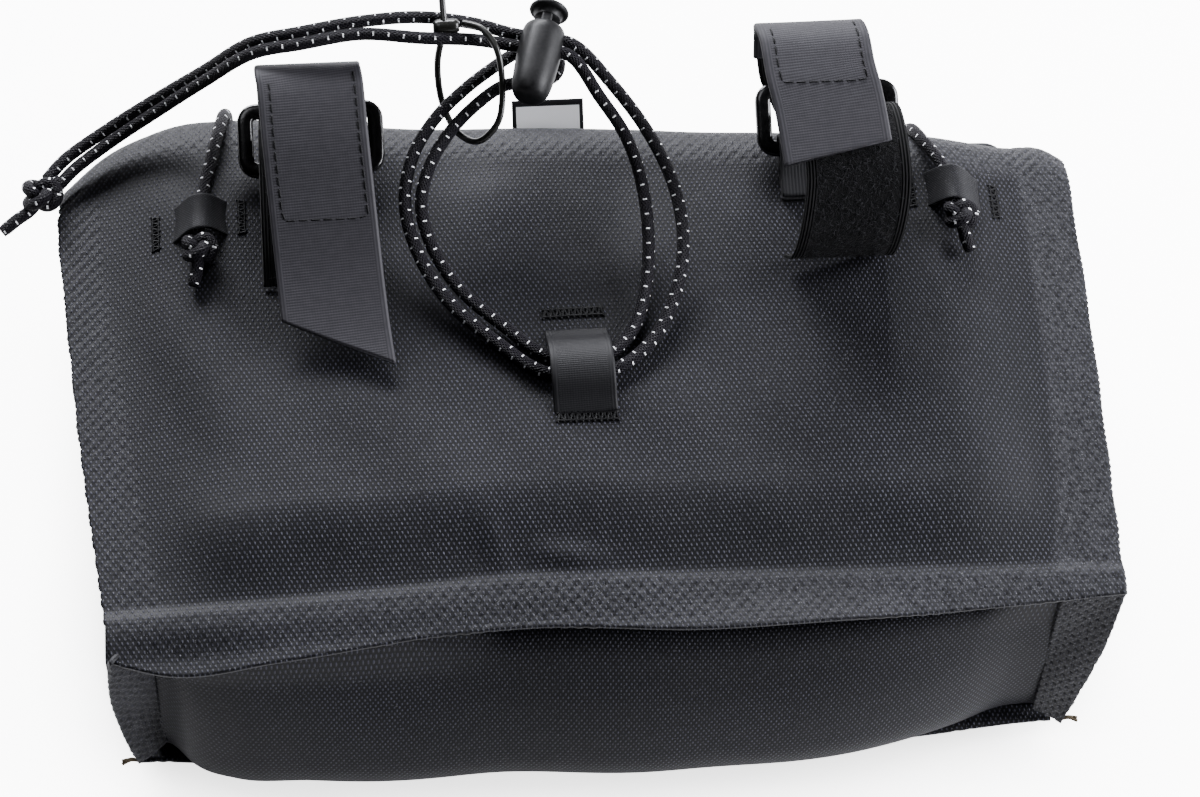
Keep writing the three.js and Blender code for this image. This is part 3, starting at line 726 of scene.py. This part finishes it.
CARGO_LEFT = [
    (-91, 40.9, 71.4), (-91, 47, 70.9), (-89.6, 54, 71.2), (-87.6, 62, 72.2), (-85.8, 70, 71.6),
    (-84.6, 77.4, 68), (-84, 81.8, 61), (-84, 81.6, 52), (-84, 77.4, 42), (-84, 74.6, 33), (-84, 73, 25),
    (-82.6, 71, 17.6), (-77, 69.2, 14), (-70, 68.8, 13.6), (-40, 68.8, 13.6),
]
CARGO_RIGHT = [
    (91, 40.9, 71.4), (90.6, 47, 70.9), (88, 54, 71.2), (85.2, 60.6, 69.8), (83.8, 66.2, 66.2),
    (83.4, 70, 60), (83.6, 73, 52), (84, 74.4, 42), (84, 74.2, 33), (84, 73, 25),
    (82.6, 71, 17.6), (77, 69.2, 14), (70, 68.8, 13.6), (40, 68.8, 13.6),
]
CORD = 3.0


def add_free_cord(name, route, material):
    line = even(smooth_line(route, 16), 0.7)
    tube = add_tube(name, line, CORD / 2, material)
    return tube


def add_knot(name, centre, size, turn, tails, material):
    """A drawn-up overhand knot: a tight trefoil of cord, with its cut tails."""
    angle = np.linspace(0, 2 * math.pi, 121)
    ring = 1.55 + 0.75 * np.cos(3 * angle)
    trefoil = np.stack((ring * np.cos(2 * angle), ring * np.sin(2 * angle), 0.95 * np.sin(3 * angle)), axis=1)
    turned = trefoil * size @ np.array(Matrix.Rotation(math.radians(turn[0]), 3, turn[1]))
    body = add_tube(name, turned + np.array(centre), CORD / 2 * 0.98, material)
    pieces = [body]
    for number, tail in enumerate(tails):
        line = even(smooth_line([centre, *tail], 10), 0.6)
        fuzz = np.where(np.arange(len(line)) > len(line) - 3, 0.9, 1.0)
        piece = add_tube(f"{name}_tail_{number + 1}", line, CORD / 2 * fuzz, material)
        pieces.append(piece)
    return pieces


def add_cords(material):
    cut_end = [(-131, 54.2, 66), (-134.6, 51.8, 65.2), (-138.2, 49.2, 64.2)]
    second_strand = [(-126, 60, 67), (-124, 61.6, 67.2)]
    tails = [cut_end, second_strand]
    bungee_knot = add_knot("bungee_knot_wraps", (-128.6, 57.2, 67.6), 1.7, (14, "X"), tails, material)
    bungee = add_free_cord("bungee", BUNGEE_ROUTE, material)
    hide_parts("bungee_cord")
    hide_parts("bungee_knot")
    knots = []
    for side, sign in (("left", -1), ("right", 1)):
        tail = [(sign * 91.6, 31.5, 72), (sign * 92.6, 27.8, 71)]
        centre = (sign * 91, 36.8, 73.2)
        pieces = add_knot(f"cargo_knot_{side}_wraps", centre, 1.42, (20, "X"), [tail], material)
        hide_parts(f"cargo_knot_{side}")
        knots += pieces
    cargo = add_free_cord("cargo", [*CARGO_LEFT, *reversed(CARGO_RIGHT)], material)
    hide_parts("cargo_cord")


# ---- strips of webbing, and thread

class Strip:
    """A flat strip of webbing along a line. Points on it are given by how far across and along they are."""

    def __init__(self, points, width, thickness, slant=0.0, cross=(1.0, 0.0, 0.0)):
        self.line = even(smooth_line(points, 10), 0.7)
        self.width, self.thickness, self.slant = width, thickness, slant
        self.along = lengths(self.line)
        tangent = unit(np.gradient(self.line, axis=0))
        cross = np.array(cross)
        self.across = unit(cross - tangent * (tangent @ cross)[:, None])
        self.normal = np.cross(tangent, self.across)

    def at(self, across, along, lift=0.0):
        across, along, lift = np.broadcast_arrays(across, along, lift)

        def blended(values):
            return np.stack([np.interp(along, self.along, values[:, k]) for k in range(3)], axis=-1)

        sideways = blended(self.across) * across[..., None]
        return blended(self.line) + sideways + blended(self.normal) * lift[..., None]

    def mesh(self, name, material, body="bag", curl=0.0):
        half = self.width / 2
        rim = np.array((1, 0.992, 0.975, 0.95))  # closer together, where the edge is round
        offsets = half * np.concatenate((-rim, np.linspace(-0.9, 0.9, 17), rim[::-1]))
        edge = np.clip((np.abs(offsets) - half + self.thickness / 2) / (self.thickness / 2), 0, 1)
        high = self.thickness / 2 * np.sqrt(1 - 0.96 * edge**2)
        across = np.concatenate((offsets, offsets[::-1], offsets[:1]))
        lift = np.concatenate((high, -high[::-1], high[:1])) + curl * (across / half) ** 2
        end = self.along[-1] - abs(self.slant) / 2 + self.slant * across / self.width
        share = np.linspace(0, 1, len(self.line))[:, None]
        along = share * end[None, :]
        points = self.at(across[None, :], along, lift[None, :])
        uv = np.stack(np.broadcast_arrays(across[None, :], along), axis=2)
        return add_surface(name, points, uv, material, body, closed=True, caps=True)


def add_threads(name, lines, radius, material, body="bag", sides=6):
    """Many short round threads as one piece."""
    angle = np.linspace(0, 2 * math.pi, sides, endpoint=False)
    vertices, faces, count = [], [], 0
    for line in lines:
        points = (line[:, None] + rings_round(line, angle) * radius).reshape(-1, 3)
        for i in range(len(line) - 1):
            for j in range(sides):
                a, b = i * sides + j, i * sides + (j + 1) % sides
                faces.append((count + a, count + b, count + b + sides, count + a + sides))
        faces.append(tuple(range(count + sides - 1, count - 1, -1)))
        faces.append(tuple(range(count + len(points) - sides, count + len(points))))
        vertices.append(points)
        count += len(points)
    mesh = bpy.data.meshes.new(name)
    mesh.from_pydata((np.vstack(vertices) * MM).tolist(), [], faces)
    mesh.polygons.foreach_set("use_smooth", [True] * len(mesh.polygons))
    mesh.materials.append(material)
    return place(bpy.data.objects.new(name, mesh), body)


def stitch_lines(surface, route, pitch=2.9, lift=0.1):
    """Separate stitches along a route of (across, along) points, placed by surface(across, along, lift)."""
    route = even(np.array(route, float), pitch)
    lines = []
    for start, end in zip(route[:-1], route[1:]):
        share = np.linspace(0.12, 0.86, 7)[:, None]
        flat = start * (1 - share) + end * share
        rise = lift + 0.16 * np.sin(np.linspace(0, math.pi, 7)) - 0.1
        lines.append(surface(flat[:, 0], flat[:, 1], rise))
    return lines


def on_back_panel(x, y, lift):
    return np.stack((x, y, back_height(x, y) + lift), axis=-1)


def add_bartack(node, centre, across, height, material, upright=False, thread=0.36):
    """A bar of close zigzag stitches on the back panel, with its two long underlying stitches."""
    count = int(across / 1.4)
    steps = np.arange(2 * count + 1)
    u = (steps / (2 * count) - 0.5) * across
    v = np.where(steps % 2, 0.5, -0.5) * height
    zigzag = np.stack((u, v), axis=1)
    bars = [np.array([(-across / 2, at), (across / 2, at)]) for at in (-0.3 * height, 0.32 * height)]
    lines = []
    for flat in (even(zigzag, 0.45), *(even(bar, 0.6) for bar in bars)):
        if upright:
            flat = flat[:, ::-1]
        wander = 0.08 * np.sin(flat[:, 0] * 9 + flat[:, 1] * 7)
        lines.append(on_back_panel(centre[0] + flat[:, 0] + wander, centre[1] + flat[:, 1], 0.1))
    piece = add_threads(f"{node}_thread", lines, thread, material)
    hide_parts(node)


# ---- straps, rings and loops

WEBBING = 25
RING_TILT = math.radians(25)
RING_Y, RING_Z = 64, 76.5
RING_CENTRE = {"left": (-63.5, RING_Y, RING_Z), "right": (61.5, RING_Y, RING_Z)}
RING_WIDTH, RING_HEIGHT, RING_BAR, RING_THICK = 35, 18, 3.8, 3.0


def ring_bar(sign):
    """The (y, z) of a ring's upper bar, or of its lower bar where sign is -1."""
    reach = sign * (RING_HEIGHT - RING_BAR) / 2
    return RING_Y + reach * math.cos(RING_TILT), RING_Z + reach * math.sin(RING_TILT)


def arc(centre, radius, start, end, count):
    angles = np.radians(np.linspace(start, end, count + 1))
    return [(centre[0] + radius * math.cos(a), centre[1] + radius * math.sin(a)) for a in angles]


def add_ring(side, material):
    """A moulded rectangular ring: a rounded bar bent round a rounded rectangle."""
    half_x, half_y, corner = RING_WIDTH / 2 - RING_BAR / 2, RING_HEIGHT / 2 - RING_BAR / 2, 2.6
    path = []
    turns = ((half_x, half_y, 0), (-half_x, half_y, 90), (-half_x, -half_y, 180), (half_x, -half_y, 270))
    for cx, cy, start in turns:
        inner = (cx - math.copysign(corner, cx), cy - math.copysign(corner, cy))
        path += arc(inner, corner, start, start + 90, 8)
    path = even(np.array([(*p, 0) for p in [*path, path[0]]]), 0.8)[:-1]
    angle = np.linspace(0, 2 * math.pi, 19)
    tangent = unit(np.roll(path, -1, axis=0) - np.roll(path, 1, axis=0))
    outward = np.stack((tangent[:, 1], -tangent[:, 0], np.zeros(len(path))), axis=1)
    power = 0.62
    wide = np.sign(np.cos(angle)) * np.abs(np.cos(angle)) ** power * RING_BAR / 2
    thick = np.sign(np.sin(angle)) * np.abs(np.sin(angle)) ** power * RING_THICK / 2
    points = path[:, None] + outward[:, None] * wide[None, :, None] + UP * thick[None, :, None]
    points = np.concatenate((points, points[:1]))
    points = points @ np.array(Matrix.Rotation(-RING_TILT, 3, "X")) + np.array(RING_CENTRE[side])
    uv = np.zeros((*points.shape[:2], 2))
    ring = add_surface(f"{side}_ring_moulding", points, uv, material, f"{side}_ring", closed=True)
    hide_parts(f"{side}_ring")


def with_x(points, xs):
    """(y, z) points with an x that goes evenly through xs."""
    at = np.linspace(0, 1, len(xs))
    return [(float(np.interp(i / (len(points) - 1), at, xs)), y, z) for i, (y, z) in enumerate(points)]


UNDER_RING = arc(ring_bar(1), 4.7, 205, 360, 5)
# Each strap's (y, z) lines: its loop tape rises from the panel and folds round the ring's upper bar, and its
# tail comes back down. strap_x and tail_x are what x goes through on the way. Stitches are (across, along).
STRAPS = {
    "left": {
        "rise": [(27, 69.9), (34, 74), (45, 78), (57, 79.5), (62.5, 78.6)],
        "fold": [(75.3, 86), (74.4, 92), (71, 95.6), (66.3, 95.9)],
        "tail": [(66.3, 95.9), (55, 92.4), (40, 85.2), (25, 78.2), (12, 74), (2, 72)],
        "patch": [(62, 93), (50, 88.2), (40, 83.4), (28, 78)],
        "strap_x": [-63.8, -63.6, -63.5, -63.5],
        "tail_x": [-63.5, -63.5, -62.4, -60.4, -58.4],
        "width": WEBBING,
        "slant": 14.0,
        "stitches": [(-9.6, 14), (-9.6, 47.8), (10.4, 49), (10.4, 14)],
        "hinge": (66, 96),
        "pile": (2, 30, 400),
    },
    "right": {
        "rise": [(29.5, 69.9), (25, 77), (26, 87), (33, 95), (43, 98), (53, 95.2), (60, 87.5), (63.2, 81.2)],
        "fold": [(75.4, 88), (75, 98), (72, 104.3), (66.6, 106.6)],
        "tail": [(66.6, 106.6), (58, 105.8), (50, 103.9), (36.4, 100.2)],
        "patch": [(63, 104.4), (58, 103.8), (50, 101.9), (46, 100.9)],
        "strap_x": [59.8, 63.8, 63.6, 62, 60, 55.2],
        "tail_x": [56.6, 55.2, 56.4, 59],
        "width": 26,
        "slant": -3.2,
        "stitches": [(-9.8, 19), (-9.8, 33.5), (10.2, 37), (10.2, 19)],
        "hinge": (66.6, 107),
        "pile": (4, 58, 1500),
    },
}


def add_pile(name, strip, start, end, count, material, seed):
    """Short loose fibres on the outer side of a loop tape, between two places along it."""
    random = np.random.default_rng(seed)
    share = np.linspace(0, 1, 4)
    lines = []
    for _ in range(count):
        across, along = random.uniform(-9.6, 9.6), random.uniform(start, end)
        run = random.normal(0, 0.8, 2)
        rise = strip.thickness / 2 + random.uniform(0.15, 0.55) * np.sin(share * math.pi)
        lines.append(strip.at(across + run[0] * share, along + run[1] * share, -rise))
    return add_threads(name, lines, 0.05, material, sides=4)


def add_strap(side, webbing, anchor_webbing, tape, fibre, hook, thread):
    shape = STRAPS[side]
    strap = Strip(with_x([*shape["rise"], *UNDER_RING, *shape["fold"][:2]], shape["strap_x"]), 24.8, 0.8)
    strap_piece = strap.mesh(f"{side}_strap_webbing", tape)
    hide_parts(f"{side}_strap")
    pile = add_pile(f"{side}_strap_pile", strap, *shape["pile"], fibre, seed=len(side))

    tail_line = [*shape["fold"][:-1], *shape["tail"]]
    tail = Strip(with_x(tail_line, shape["tail_x"]), shape["width"], 1.5, slant=shape["slant"])
    tail_piece = tail.mesh(f"{side}_tail_webbing", webbing, None)
    patch = Strip(with_x(shape["patch"], shape["tail_x"][1:]), 21, 0.8)
    patch_piece = patch.mesh(f"{side}_hook_tape", hook, None)
    stitches = stitch_lines(tail.at, shape["stitches"], lift=0.78)
    stitch_piece = add_threads(f"{side}_tail_stitching", stitches, 0.2, thread, None)
    for piece in (tail_piece, patch_piece, stitch_piece):
        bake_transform(piece)
    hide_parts(f"{side}_strap_tail")
    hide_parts(f"{side}_hook_patch")

    anchor_line = [(45, 69.9), (50, 69.9), *arc(ring_bar(-1), 3.3, -100, 100, 6), (50.5, 73.2), (45, 71.7)]
    anchor = Strip(with_x(anchor_line, [RING_CENTRE[side][0]] * 2), WEBBING, 1.0)
    anchor = anchor.mesh(f"{side}_anchor_webbing", anchor_webbing)
    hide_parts(f"{side}_ring_anchor")


def add_loops(webbing, cloth, thread):
    line = [
        (12, 68.9), (9.6, 70), (6.4, 72.8), (3, 74.4), (-0.6, 74.7), (-4.2, 73.6), (-7.4, 71), (-9.6, 69.6),
        (-10.6, 68.9),
    ]
    centre = Strip(with_x(line, [-3.2, -2.4]), 15, 1.0).mesh("centre_loop_webbing", webbing)
    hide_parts("centre_loop")
    add_bartack("centre_loop_bartack_upper", (-3.6, 16.6), 14.4, 3.0, thread)
    add_bartack("centre_loop_bartack_lower", (-2.2, -11.6), 14.4, 3.0, thread)
    half_hump = [(-6.4, -0.9), (-5, 0.4), (-3.5, 2.2), (-1.7, 3.7)]
    hump = [*half_hump, (0, 4.1), *((-u, rise) for u, rise in reversed(half_hump))]
    for side, sign, lean in (("left", -1, 0.6), ("right", 1, -1.2)):
        line = []
        for u, rise in hump:
            x, y = sign * 90.6 + u, 46.2 + lean * u / 9
            line.append((x, y, max(float(back_height(np.array(x), np.array(y))), 69.0 - abs(u) / 8) + rise))
        piece = Strip(line, 9.6, 0.8, cross=(0.03 * sign, -1.0, 0))
        piece = piece.mesh(f"{side}_side_loop_cloth", cloth, curl=-0.3)
        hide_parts(f"{side}_side_loop")
        add_bartack(f"{side}_side_loop_bartack_outer", (sign * 101.4, 44.6), 9.5, 2.2, thread, True, 0.26)
        add_bartack(f"{side}_side_loop_bartack_inner", (sign * 80.8, 46.8), 9.5, 2.2, thread, True, 0.26)


def add_cargo_guides(webbing):
    """Two short webbing loops at the front edge of the top gusset, which the cargo cord runs through."""
    loop = [(71.4, 19.6), (72.8, 15.6), (71.8, 11.4), (68.4, 10), (64.4, 10.8)]
    for side, sign in (("left", -1), ("right", 1)):
        piece = Strip(with_x(loop, [sign * 68] * 2), 10, 1.0).mesh(f"cargo_guide_{side}_webbing", webbing)
        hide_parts(f"cargo_guide_{side}")


# ---- zip

def add_zip(tape, coil):
    half_gap, half_tape, tape_edge, half_coil, pitch = 2.6, 90, 7.6, 72, 1.25
    for node, sign in (("zip_tape_back", 1), ("zip_tape_front", -1)):
        grid_x, share = np.meshgrid(np.linspace(-half_tape, half_tape, 181), np.linspace(0, 1, 9))
        inner = 0.1 + (half_gap + 0.2) * smooth(77, 75, np.abs(grid_x))
        grid_z = sign * (inner + (tape_edge - inner) * share)
        sag = 0.25 * np.sin(grid_x / 13) + 0.1 * np.sin(grid_x / 4.1)
        points = np.stack((grid_x, ZIP_FACE - 1.0 + sag * 0.4, ZIP_MIDDLE + grid_z), axis=2)
        piece = add_surface(f"{node}_cloth", points, np.stack((grid_x, grid_z), axis=2), tape)
        thicken(piece, 0.7, 0)
        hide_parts(node)
    turns = int(2 * half_coil / pitch)
    angle = np.linspace(0, 2 * math.pi * turns, turns * 12 + 1)
    along = np.linspace(-half_coil, half_coil, len(angle))
    rows = []
    for sign in (1, -1):
        out = 1.15 * np.sin(angle + (0 if sign > 0 else math.pi))
        up = sign * 0.95 + 1.35 * np.cos(angle)
        rows.append(np.stack((along, ZIP_FACE - 1.1 + 0.75 * out, ZIP_MIDDLE + up), axis=1))
    piece = add_threads("zip_coil_turns", rows, 0.36, coil)
    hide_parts("zip_coil")


# ---- cord lock, tie and label

# The middle of the button's face, and the direction from it into the lock.
LOCK_TOP, LOCK_HEADING = (-5.1, 84.3, 98.0), math.radians(255)
LOCK_AXIS = np.array((math.cos(LOCK_HEADING), math.sin(LOCK_HEADING), 0))
LOCK_SIDE = np.array((-LOCK_AXIS[1], LOCK_AXIS[0], 0))
LOCK_LEG_RISE = 2.35  # the button's two legs pass above and below the cord


def add_lathe(name, outline, material, body, rings=None):
    """A turned piece on the cord lock's axis, from (radius, distance from the button's face) points.

    rings is how many steps round off each stretch between them; without it they are joined straight.
    """
    line = np.array(outline, float)
    if rings:
        line = smooth_line([(*p, 0) for p in outline], rings)[:, :2]
    angle = np.linspace(0, 2 * math.pi, 41)
    ring = LOCK_SIDE * np.cos(angle)[:, None] + UP * np.sin(angle)[:, None]
    radius = np.maximum(line[:, 0], 0.02)[:, None, None]
    points = np.array(LOCK_TOP) + line[:, 1][:, None, None] * LOCK_AXIS + ring[None] * radius
    uv = np.stack(np.broadcast_arrays(angle[None, :] * 4, line[:, 1][:, None]), axis=2)
    return add_surface(name, points, uv, material, body, closed=True, caps=True)


def add_cord_lock(material, steel):
    barrel = [
        (3.5, 17.8), (3.5, 12), (3.55, 7.4), (3.8, 6.5), (4.3, 6.4), (4.8, 6.9), (5.15, 8.2), (5.25, 10.5),
        (5.2, 15), (5.0, 19.5), (4.75, 22.6), (4.3, 24.8), (3.5, 26.2), (2.2, 26.8), (0, 27),
    ]
    button = [
        (0, 0.15), (2.6, 0), (4.0, 0.25), (4.65, 0.8), (4.75, 1.4), (4.4, 1.9), (3.6, 2.2), (3.2, 2.8),
        (3.1, 3.5),
    ]
    spring = [(2.1, 18.1), (3.1, 18.1), (3.1, 24.7), (2.1, 24.7)]
    pieces = (
        ("cord_lock_barrel", "lock_barrel_moulding", barrel, material, "bag", "lock_plastic", 5),
        ("cord_lock_button", "lock_button_moulding", button, material, "lock_button", "lock_plastic", 5),
        ("cord_lock_spring", "lock_spring_coil", spring, steel, "bag", "spring_steel", None),
    )
    for node, name, outline, finish, body, slot, rings in pieces:
        piece = add_lathe(name, outline, finish, body, rings)
        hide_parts(node)
    for name, rise in (("upper", LOCK_LEG_RISE), ("lower", -LOCK_LEG_RISE)):
        line = [np.array(LOCK_TOP) + LOCK_AXIS * along + (0, 0, rise) for along in (3, 6, 9, 13.5)]
        leg = Strip(line, 2.6, 1.2, cross=LOCK_SIDE)
        leg = leg.mesh(f"lock_button_leg_{name}", material, "lock_button")


TIE_BAND = [
    (-26.4, 77.8, 102.4), (-22.2, 75.4, 103.2), (-19, 70.4, 102.4), (-17.9, 63, 98), (-19.2, 56, 92.6),
    (-23.8, 53.8, 88), (-28.6, 58.8, 84.6), (-31.8, 66.6, 86), (-32.6, 73, 92.6), (-31.4, 76.6, 98.4),
]
TIE_RADIUS = 0.8


def add_tie(material):
    line = even(smooth_line(TIE_BAND, 12), 0.5)
    band = add_tube("tie_band_plastic", line, TIE_RADIUS, material, sides=12)
    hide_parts("tie_band")
    head_line = np.array([(x, 77.5, 101.6) for x in np.linspace(-33.4, -27.2, 12)])
    swell = 1.9 * (1 - 0.35 * np.abs(np.linspace(-1, 1, 12)) ** 6)
    head = add_tube("tie_head_block", head_line, swell, material, sides=8)
    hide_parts("tie_head")
    stub_line = even(np.array([(-30.8, 77.8, 102.6), (-31, 84, 104.9)]), 0.6)
    stub = add_tube("tie_tail", stub_line, TIE_RADIUS, material, sides=10)


LABEL_X, LABEL_WIDTH, LABEL_LENGTH = -5.3, 17.6, 11.4


def add_label(material):
    points = [(LABEL_X, y, z) for y, z in ((70.5, 59.5), (74.4, 62.4), (77.2, 64.4), (79.4, 66.4))]
    piece = Strip(points, LABEL_WIDTH, 0.7).mesh("label_cloth", material)
    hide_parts("label_tab")


# ---- the rest of the shell

def add_front_panel(material):
    """The panel that the bag lies on."""
    half_width, bottom, top = 119, -70.3, 62
    x, y = np.meshgrid(np.linspace(-half_width, half_width, 150), np.linspace(bottom, top, 95))
    corner = smooth(38, 62, np.abs(y)) * smooth(60, half_width, np.abs(x))
    x = x * (1 - np.where(x < 0, 0.065, 0.09) * corner)
    y = y * (1 - np.where(y > 0, 0.12, np.where(x < 0, 0.068, 0.04)) * corner)
    inside = np.minimum(108 - np.abs(x), np.minimum(y + 50.5, 58 - y))
    z = 7 - 6.4 * smooth(-1, 22, inside) + 0.2 * np.sin(x / 14) * np.sin(y / 12) * smooth(0, 10, inside)
    z -= weld(x, y, depth=0.4) * smooth(1.5, -0.5, inside)
    points, uv = np.stack((x, y, np.maximum(z, 0.2)), axis=2), np.stack((x, y), axis=2)
    piece = add_surface("front_panel_cloth", points, uv, material)
    thicken(piece, CLOTH, 1.0)
    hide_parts("front_panel")


def add_side_gussets(material):
    for side, sign in (("left", -1), ("right", 1)):
        low, high, middle, half_depth, inner_reach = -58.5, 59.5, 36, 26.6, 104.1
        grid_y, grid_q = np.meshgrid(np.linspace(low, high, 120), np.linspace(-math.pi / 2, math.pi / 2, 50))
        end = smooth(0, 20, grid_y + 52) * smooth(0, 20, 59 - grid_y)
        out = np.cos(grid_q) * (2 + 7 * end) + 0.5 * np.sin(grid_y / 8 + grid_q * 2) * end
        out += 2.4 * smooth(0, 9, grid_y - low) * smooth(0, 9, high - grid_y)
        points = np.stack((sign * (inner_reach + out), grid_y, middle + half_depth * np.sin(grid_q)), axis=2)
        piece = add_surface(f"{side}_gusset_cloth", points, np.stack((grid_y, grid_q * 26), axis=2), material)
        thicken(piece, CLOTH)
        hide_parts(f"{side}_gusset")


# Each fin is a strip from its inner line at the corner of the gussets to its outer line, both from the back
# panel down.
FINS = {
    "corner_seam_bottom_left": (
        [(-103.8, -57, 63), (-105.2, -59.4, 45), (-105, -61, 28), (-104.2, -62, 12)],
        [(-113.9, -65.6, 64.2), (-115, -65, 46), (-113.4, -66.4, 24), (-111.4, -66, 9)],
    ),
    "corner_seam_bottom_right": (
        [(104.4, -58, 63), (104, -60.8, 45), (104, -63.2, 28), (103.7, -65.2, 11)],
        [(118.3, -61, 64.2), (117, -63.5, 46), (113.8, -66.6, 26), (110.8, -68.4, 8)],
    ),
    "corner_seam_top_left": (
        [(-107, 59, 62), (-107, 59, 45), (-107, 59, 28), (-107, 58, 12)],
        [(-120, 62, 58), (-118.6, 62, 45), (-117.6, 61, 28), (-117, 60, 12)],
    ),
    "corner_seam_top_right": (
        [(107, 59, 62), (107, 59, 45), (107, 59, 28), (107, 58, 12)],
        [(118.4, 60, 58), (118, 60, 45), (117.6, 60, 28), (117, 60, 12)],
    ),
}


def add_fins(material):
    for node, (inner, outer) in FINS.items():
        inner, outer = (parts(smooth_line(line, 16), 120) for line in (inner, outer))
        share = np.linspace(0, 1, 26)
        points = inner[:, None] * (1 - share)[None, :, None] + outer[:, None] * share[None, :, None]
        width = np.linalg.norm(outer - inner, axis=1)
        u = share[None, :] * width[:, None]
        v = np.broadcast_to(lengths(outer)[:, None], u.shape)
        normal = unit(np.cross(np.gradient(points, axis=0), np.gradient(points, axis=1)))
        points = points + normal * (weld(u, v, depth=0.4) + 0.3 * np.sin(v / 6 + u / 3))[..., None]
        # painted light with a little dust: the fins are painted lighter all over, standing in for the
        # front-right light that falls on them
        uv, weld_and_painted_light = np.stack((u, v), axis=2), np.full(u.shape, 2.2)
        piece = add_surface(f"{node}_cloth", points, uv, material, weld_and_painted_light=weld_and_painted_light)
        thicken(piece, 1.2, 0)
        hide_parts(node)


def add_frayed_yarn(material):
    """A few loose yarns at the tip of each lower corner seam."""
    for side, sign, tip in (("left", -1, (-110.8, -66, 9.4)), ("right", 1, (110.2, -68, 8.8))):
        lines = []
        for lean, drop in ((0.2, 0.4), (0.9, 0.0), (0.5, -0.7)):
            end = np.array((sign * 4.2, -lean, drop + 0.6))
            middle = end * 0.5 + np.array((0, 0.4, 0.5 - drop))
            lines.append(smooth_line([np.array(tip), np.array(tip) + middle, np.array(tip) + end], 5))
        piece = add_threads(f"frayed_yarn_{side}", lines, 0.4, material)


# ---- build

add_camera()
add_cords(shock_cord_material())

shell = woven("shell_fabric", (0.0003, 0.0003, 0.0010), (0.038, 0.039, 0.058), specular=0.16)
webbing = webbing_material(
    "webbing", WEBBING, (0.016, 0.0153, 0.0185), (0.033, 0.0318, 0.037), pitch=0.66, specular=0.2
)
narrow = webbing_material(
    "narrow_webbing", 15, (0.004, 0.004, 0.005), (0.0065, 0.0064, 0.0078), pitch=0.5, specular=0.22
)
tape = fuzzy_material(WEBBING)
fibre = plain_material("tape_fibre", (0.012, 0.012, 0.014), 0.7, 0.2)
hook = hook_material()
thread = thread_material()
add_back_panel(shell)
add_bottom_gusset(shell)
add_top_gusset(shell)
add_front_panel(shell)
add_side_gussets(shell)
add_fins(shell)
ring_plastic = plain_material("ring_plastic", (0.0015, 0.0015, 0.0017), 0.18, 0.5)
for side in ("left", "right"):
    add_ring(side, ring_plastic)
    add_strap(side, webbing, narrow, tape, fibre, hook, thread)
loop_dark, loop_light = (0.0016, 0.0016, 0.0022), (0.026, 0.026, 0.034)
loop_cloth = woven("loop_cloth", loop_dark, loop_light, warp=0.7, weft=0.7, specular=0.12, depth=0.05)
add_loops(narrow, loop_cloth, thread)
add_cargo_guides(narrow)
zip_tape = webbing_material("zip_tape", 400, (0.001, 0.001, 0.0015), (0.008, 0.008, 0.009), pitch=0.7)
add_zip(zip_tape, plain_material("zip_coil", (0.002, 0.002, 0.002), 0.35))
metal = plain_material("zip_metal", (0.03, 0.03, 0.032), 0.3, metallic=1.0)
for node in ("zip_slider", "zip_pull", "zip_stop_left", "zip_stop_right"):
    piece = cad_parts[node]
    piece.data.materials.clear()
    piece.data.materials.append(metal)
    bevel = piece.modifiers.new("worn_edges", "BEVEL")
    bevel.width = 0.2 * MM
    bevel.segments = 2
lock_plastic = plain_material("lock_plastic", (0.004, 0.004, 0.0044), 0.45, 0.16)
add_cord_lock(lock_plastic, plain_material("spring_steel", (0.5, 0.5, 0.5), 0.25, metallic=1.0))
add_tie(plain_material("tie_plastic", (0.006, 0.006, 0.005), 0.3, 0.45))
add_label(label_material(LABEL_WIDTH, LABEL_LENGTH))
add_frayed_yarn(plain_material("frayed_yarn", (0.07, 0.055, 0.035), 0.8, 0.1, grain=0.05))
add_stage()
add_lights()
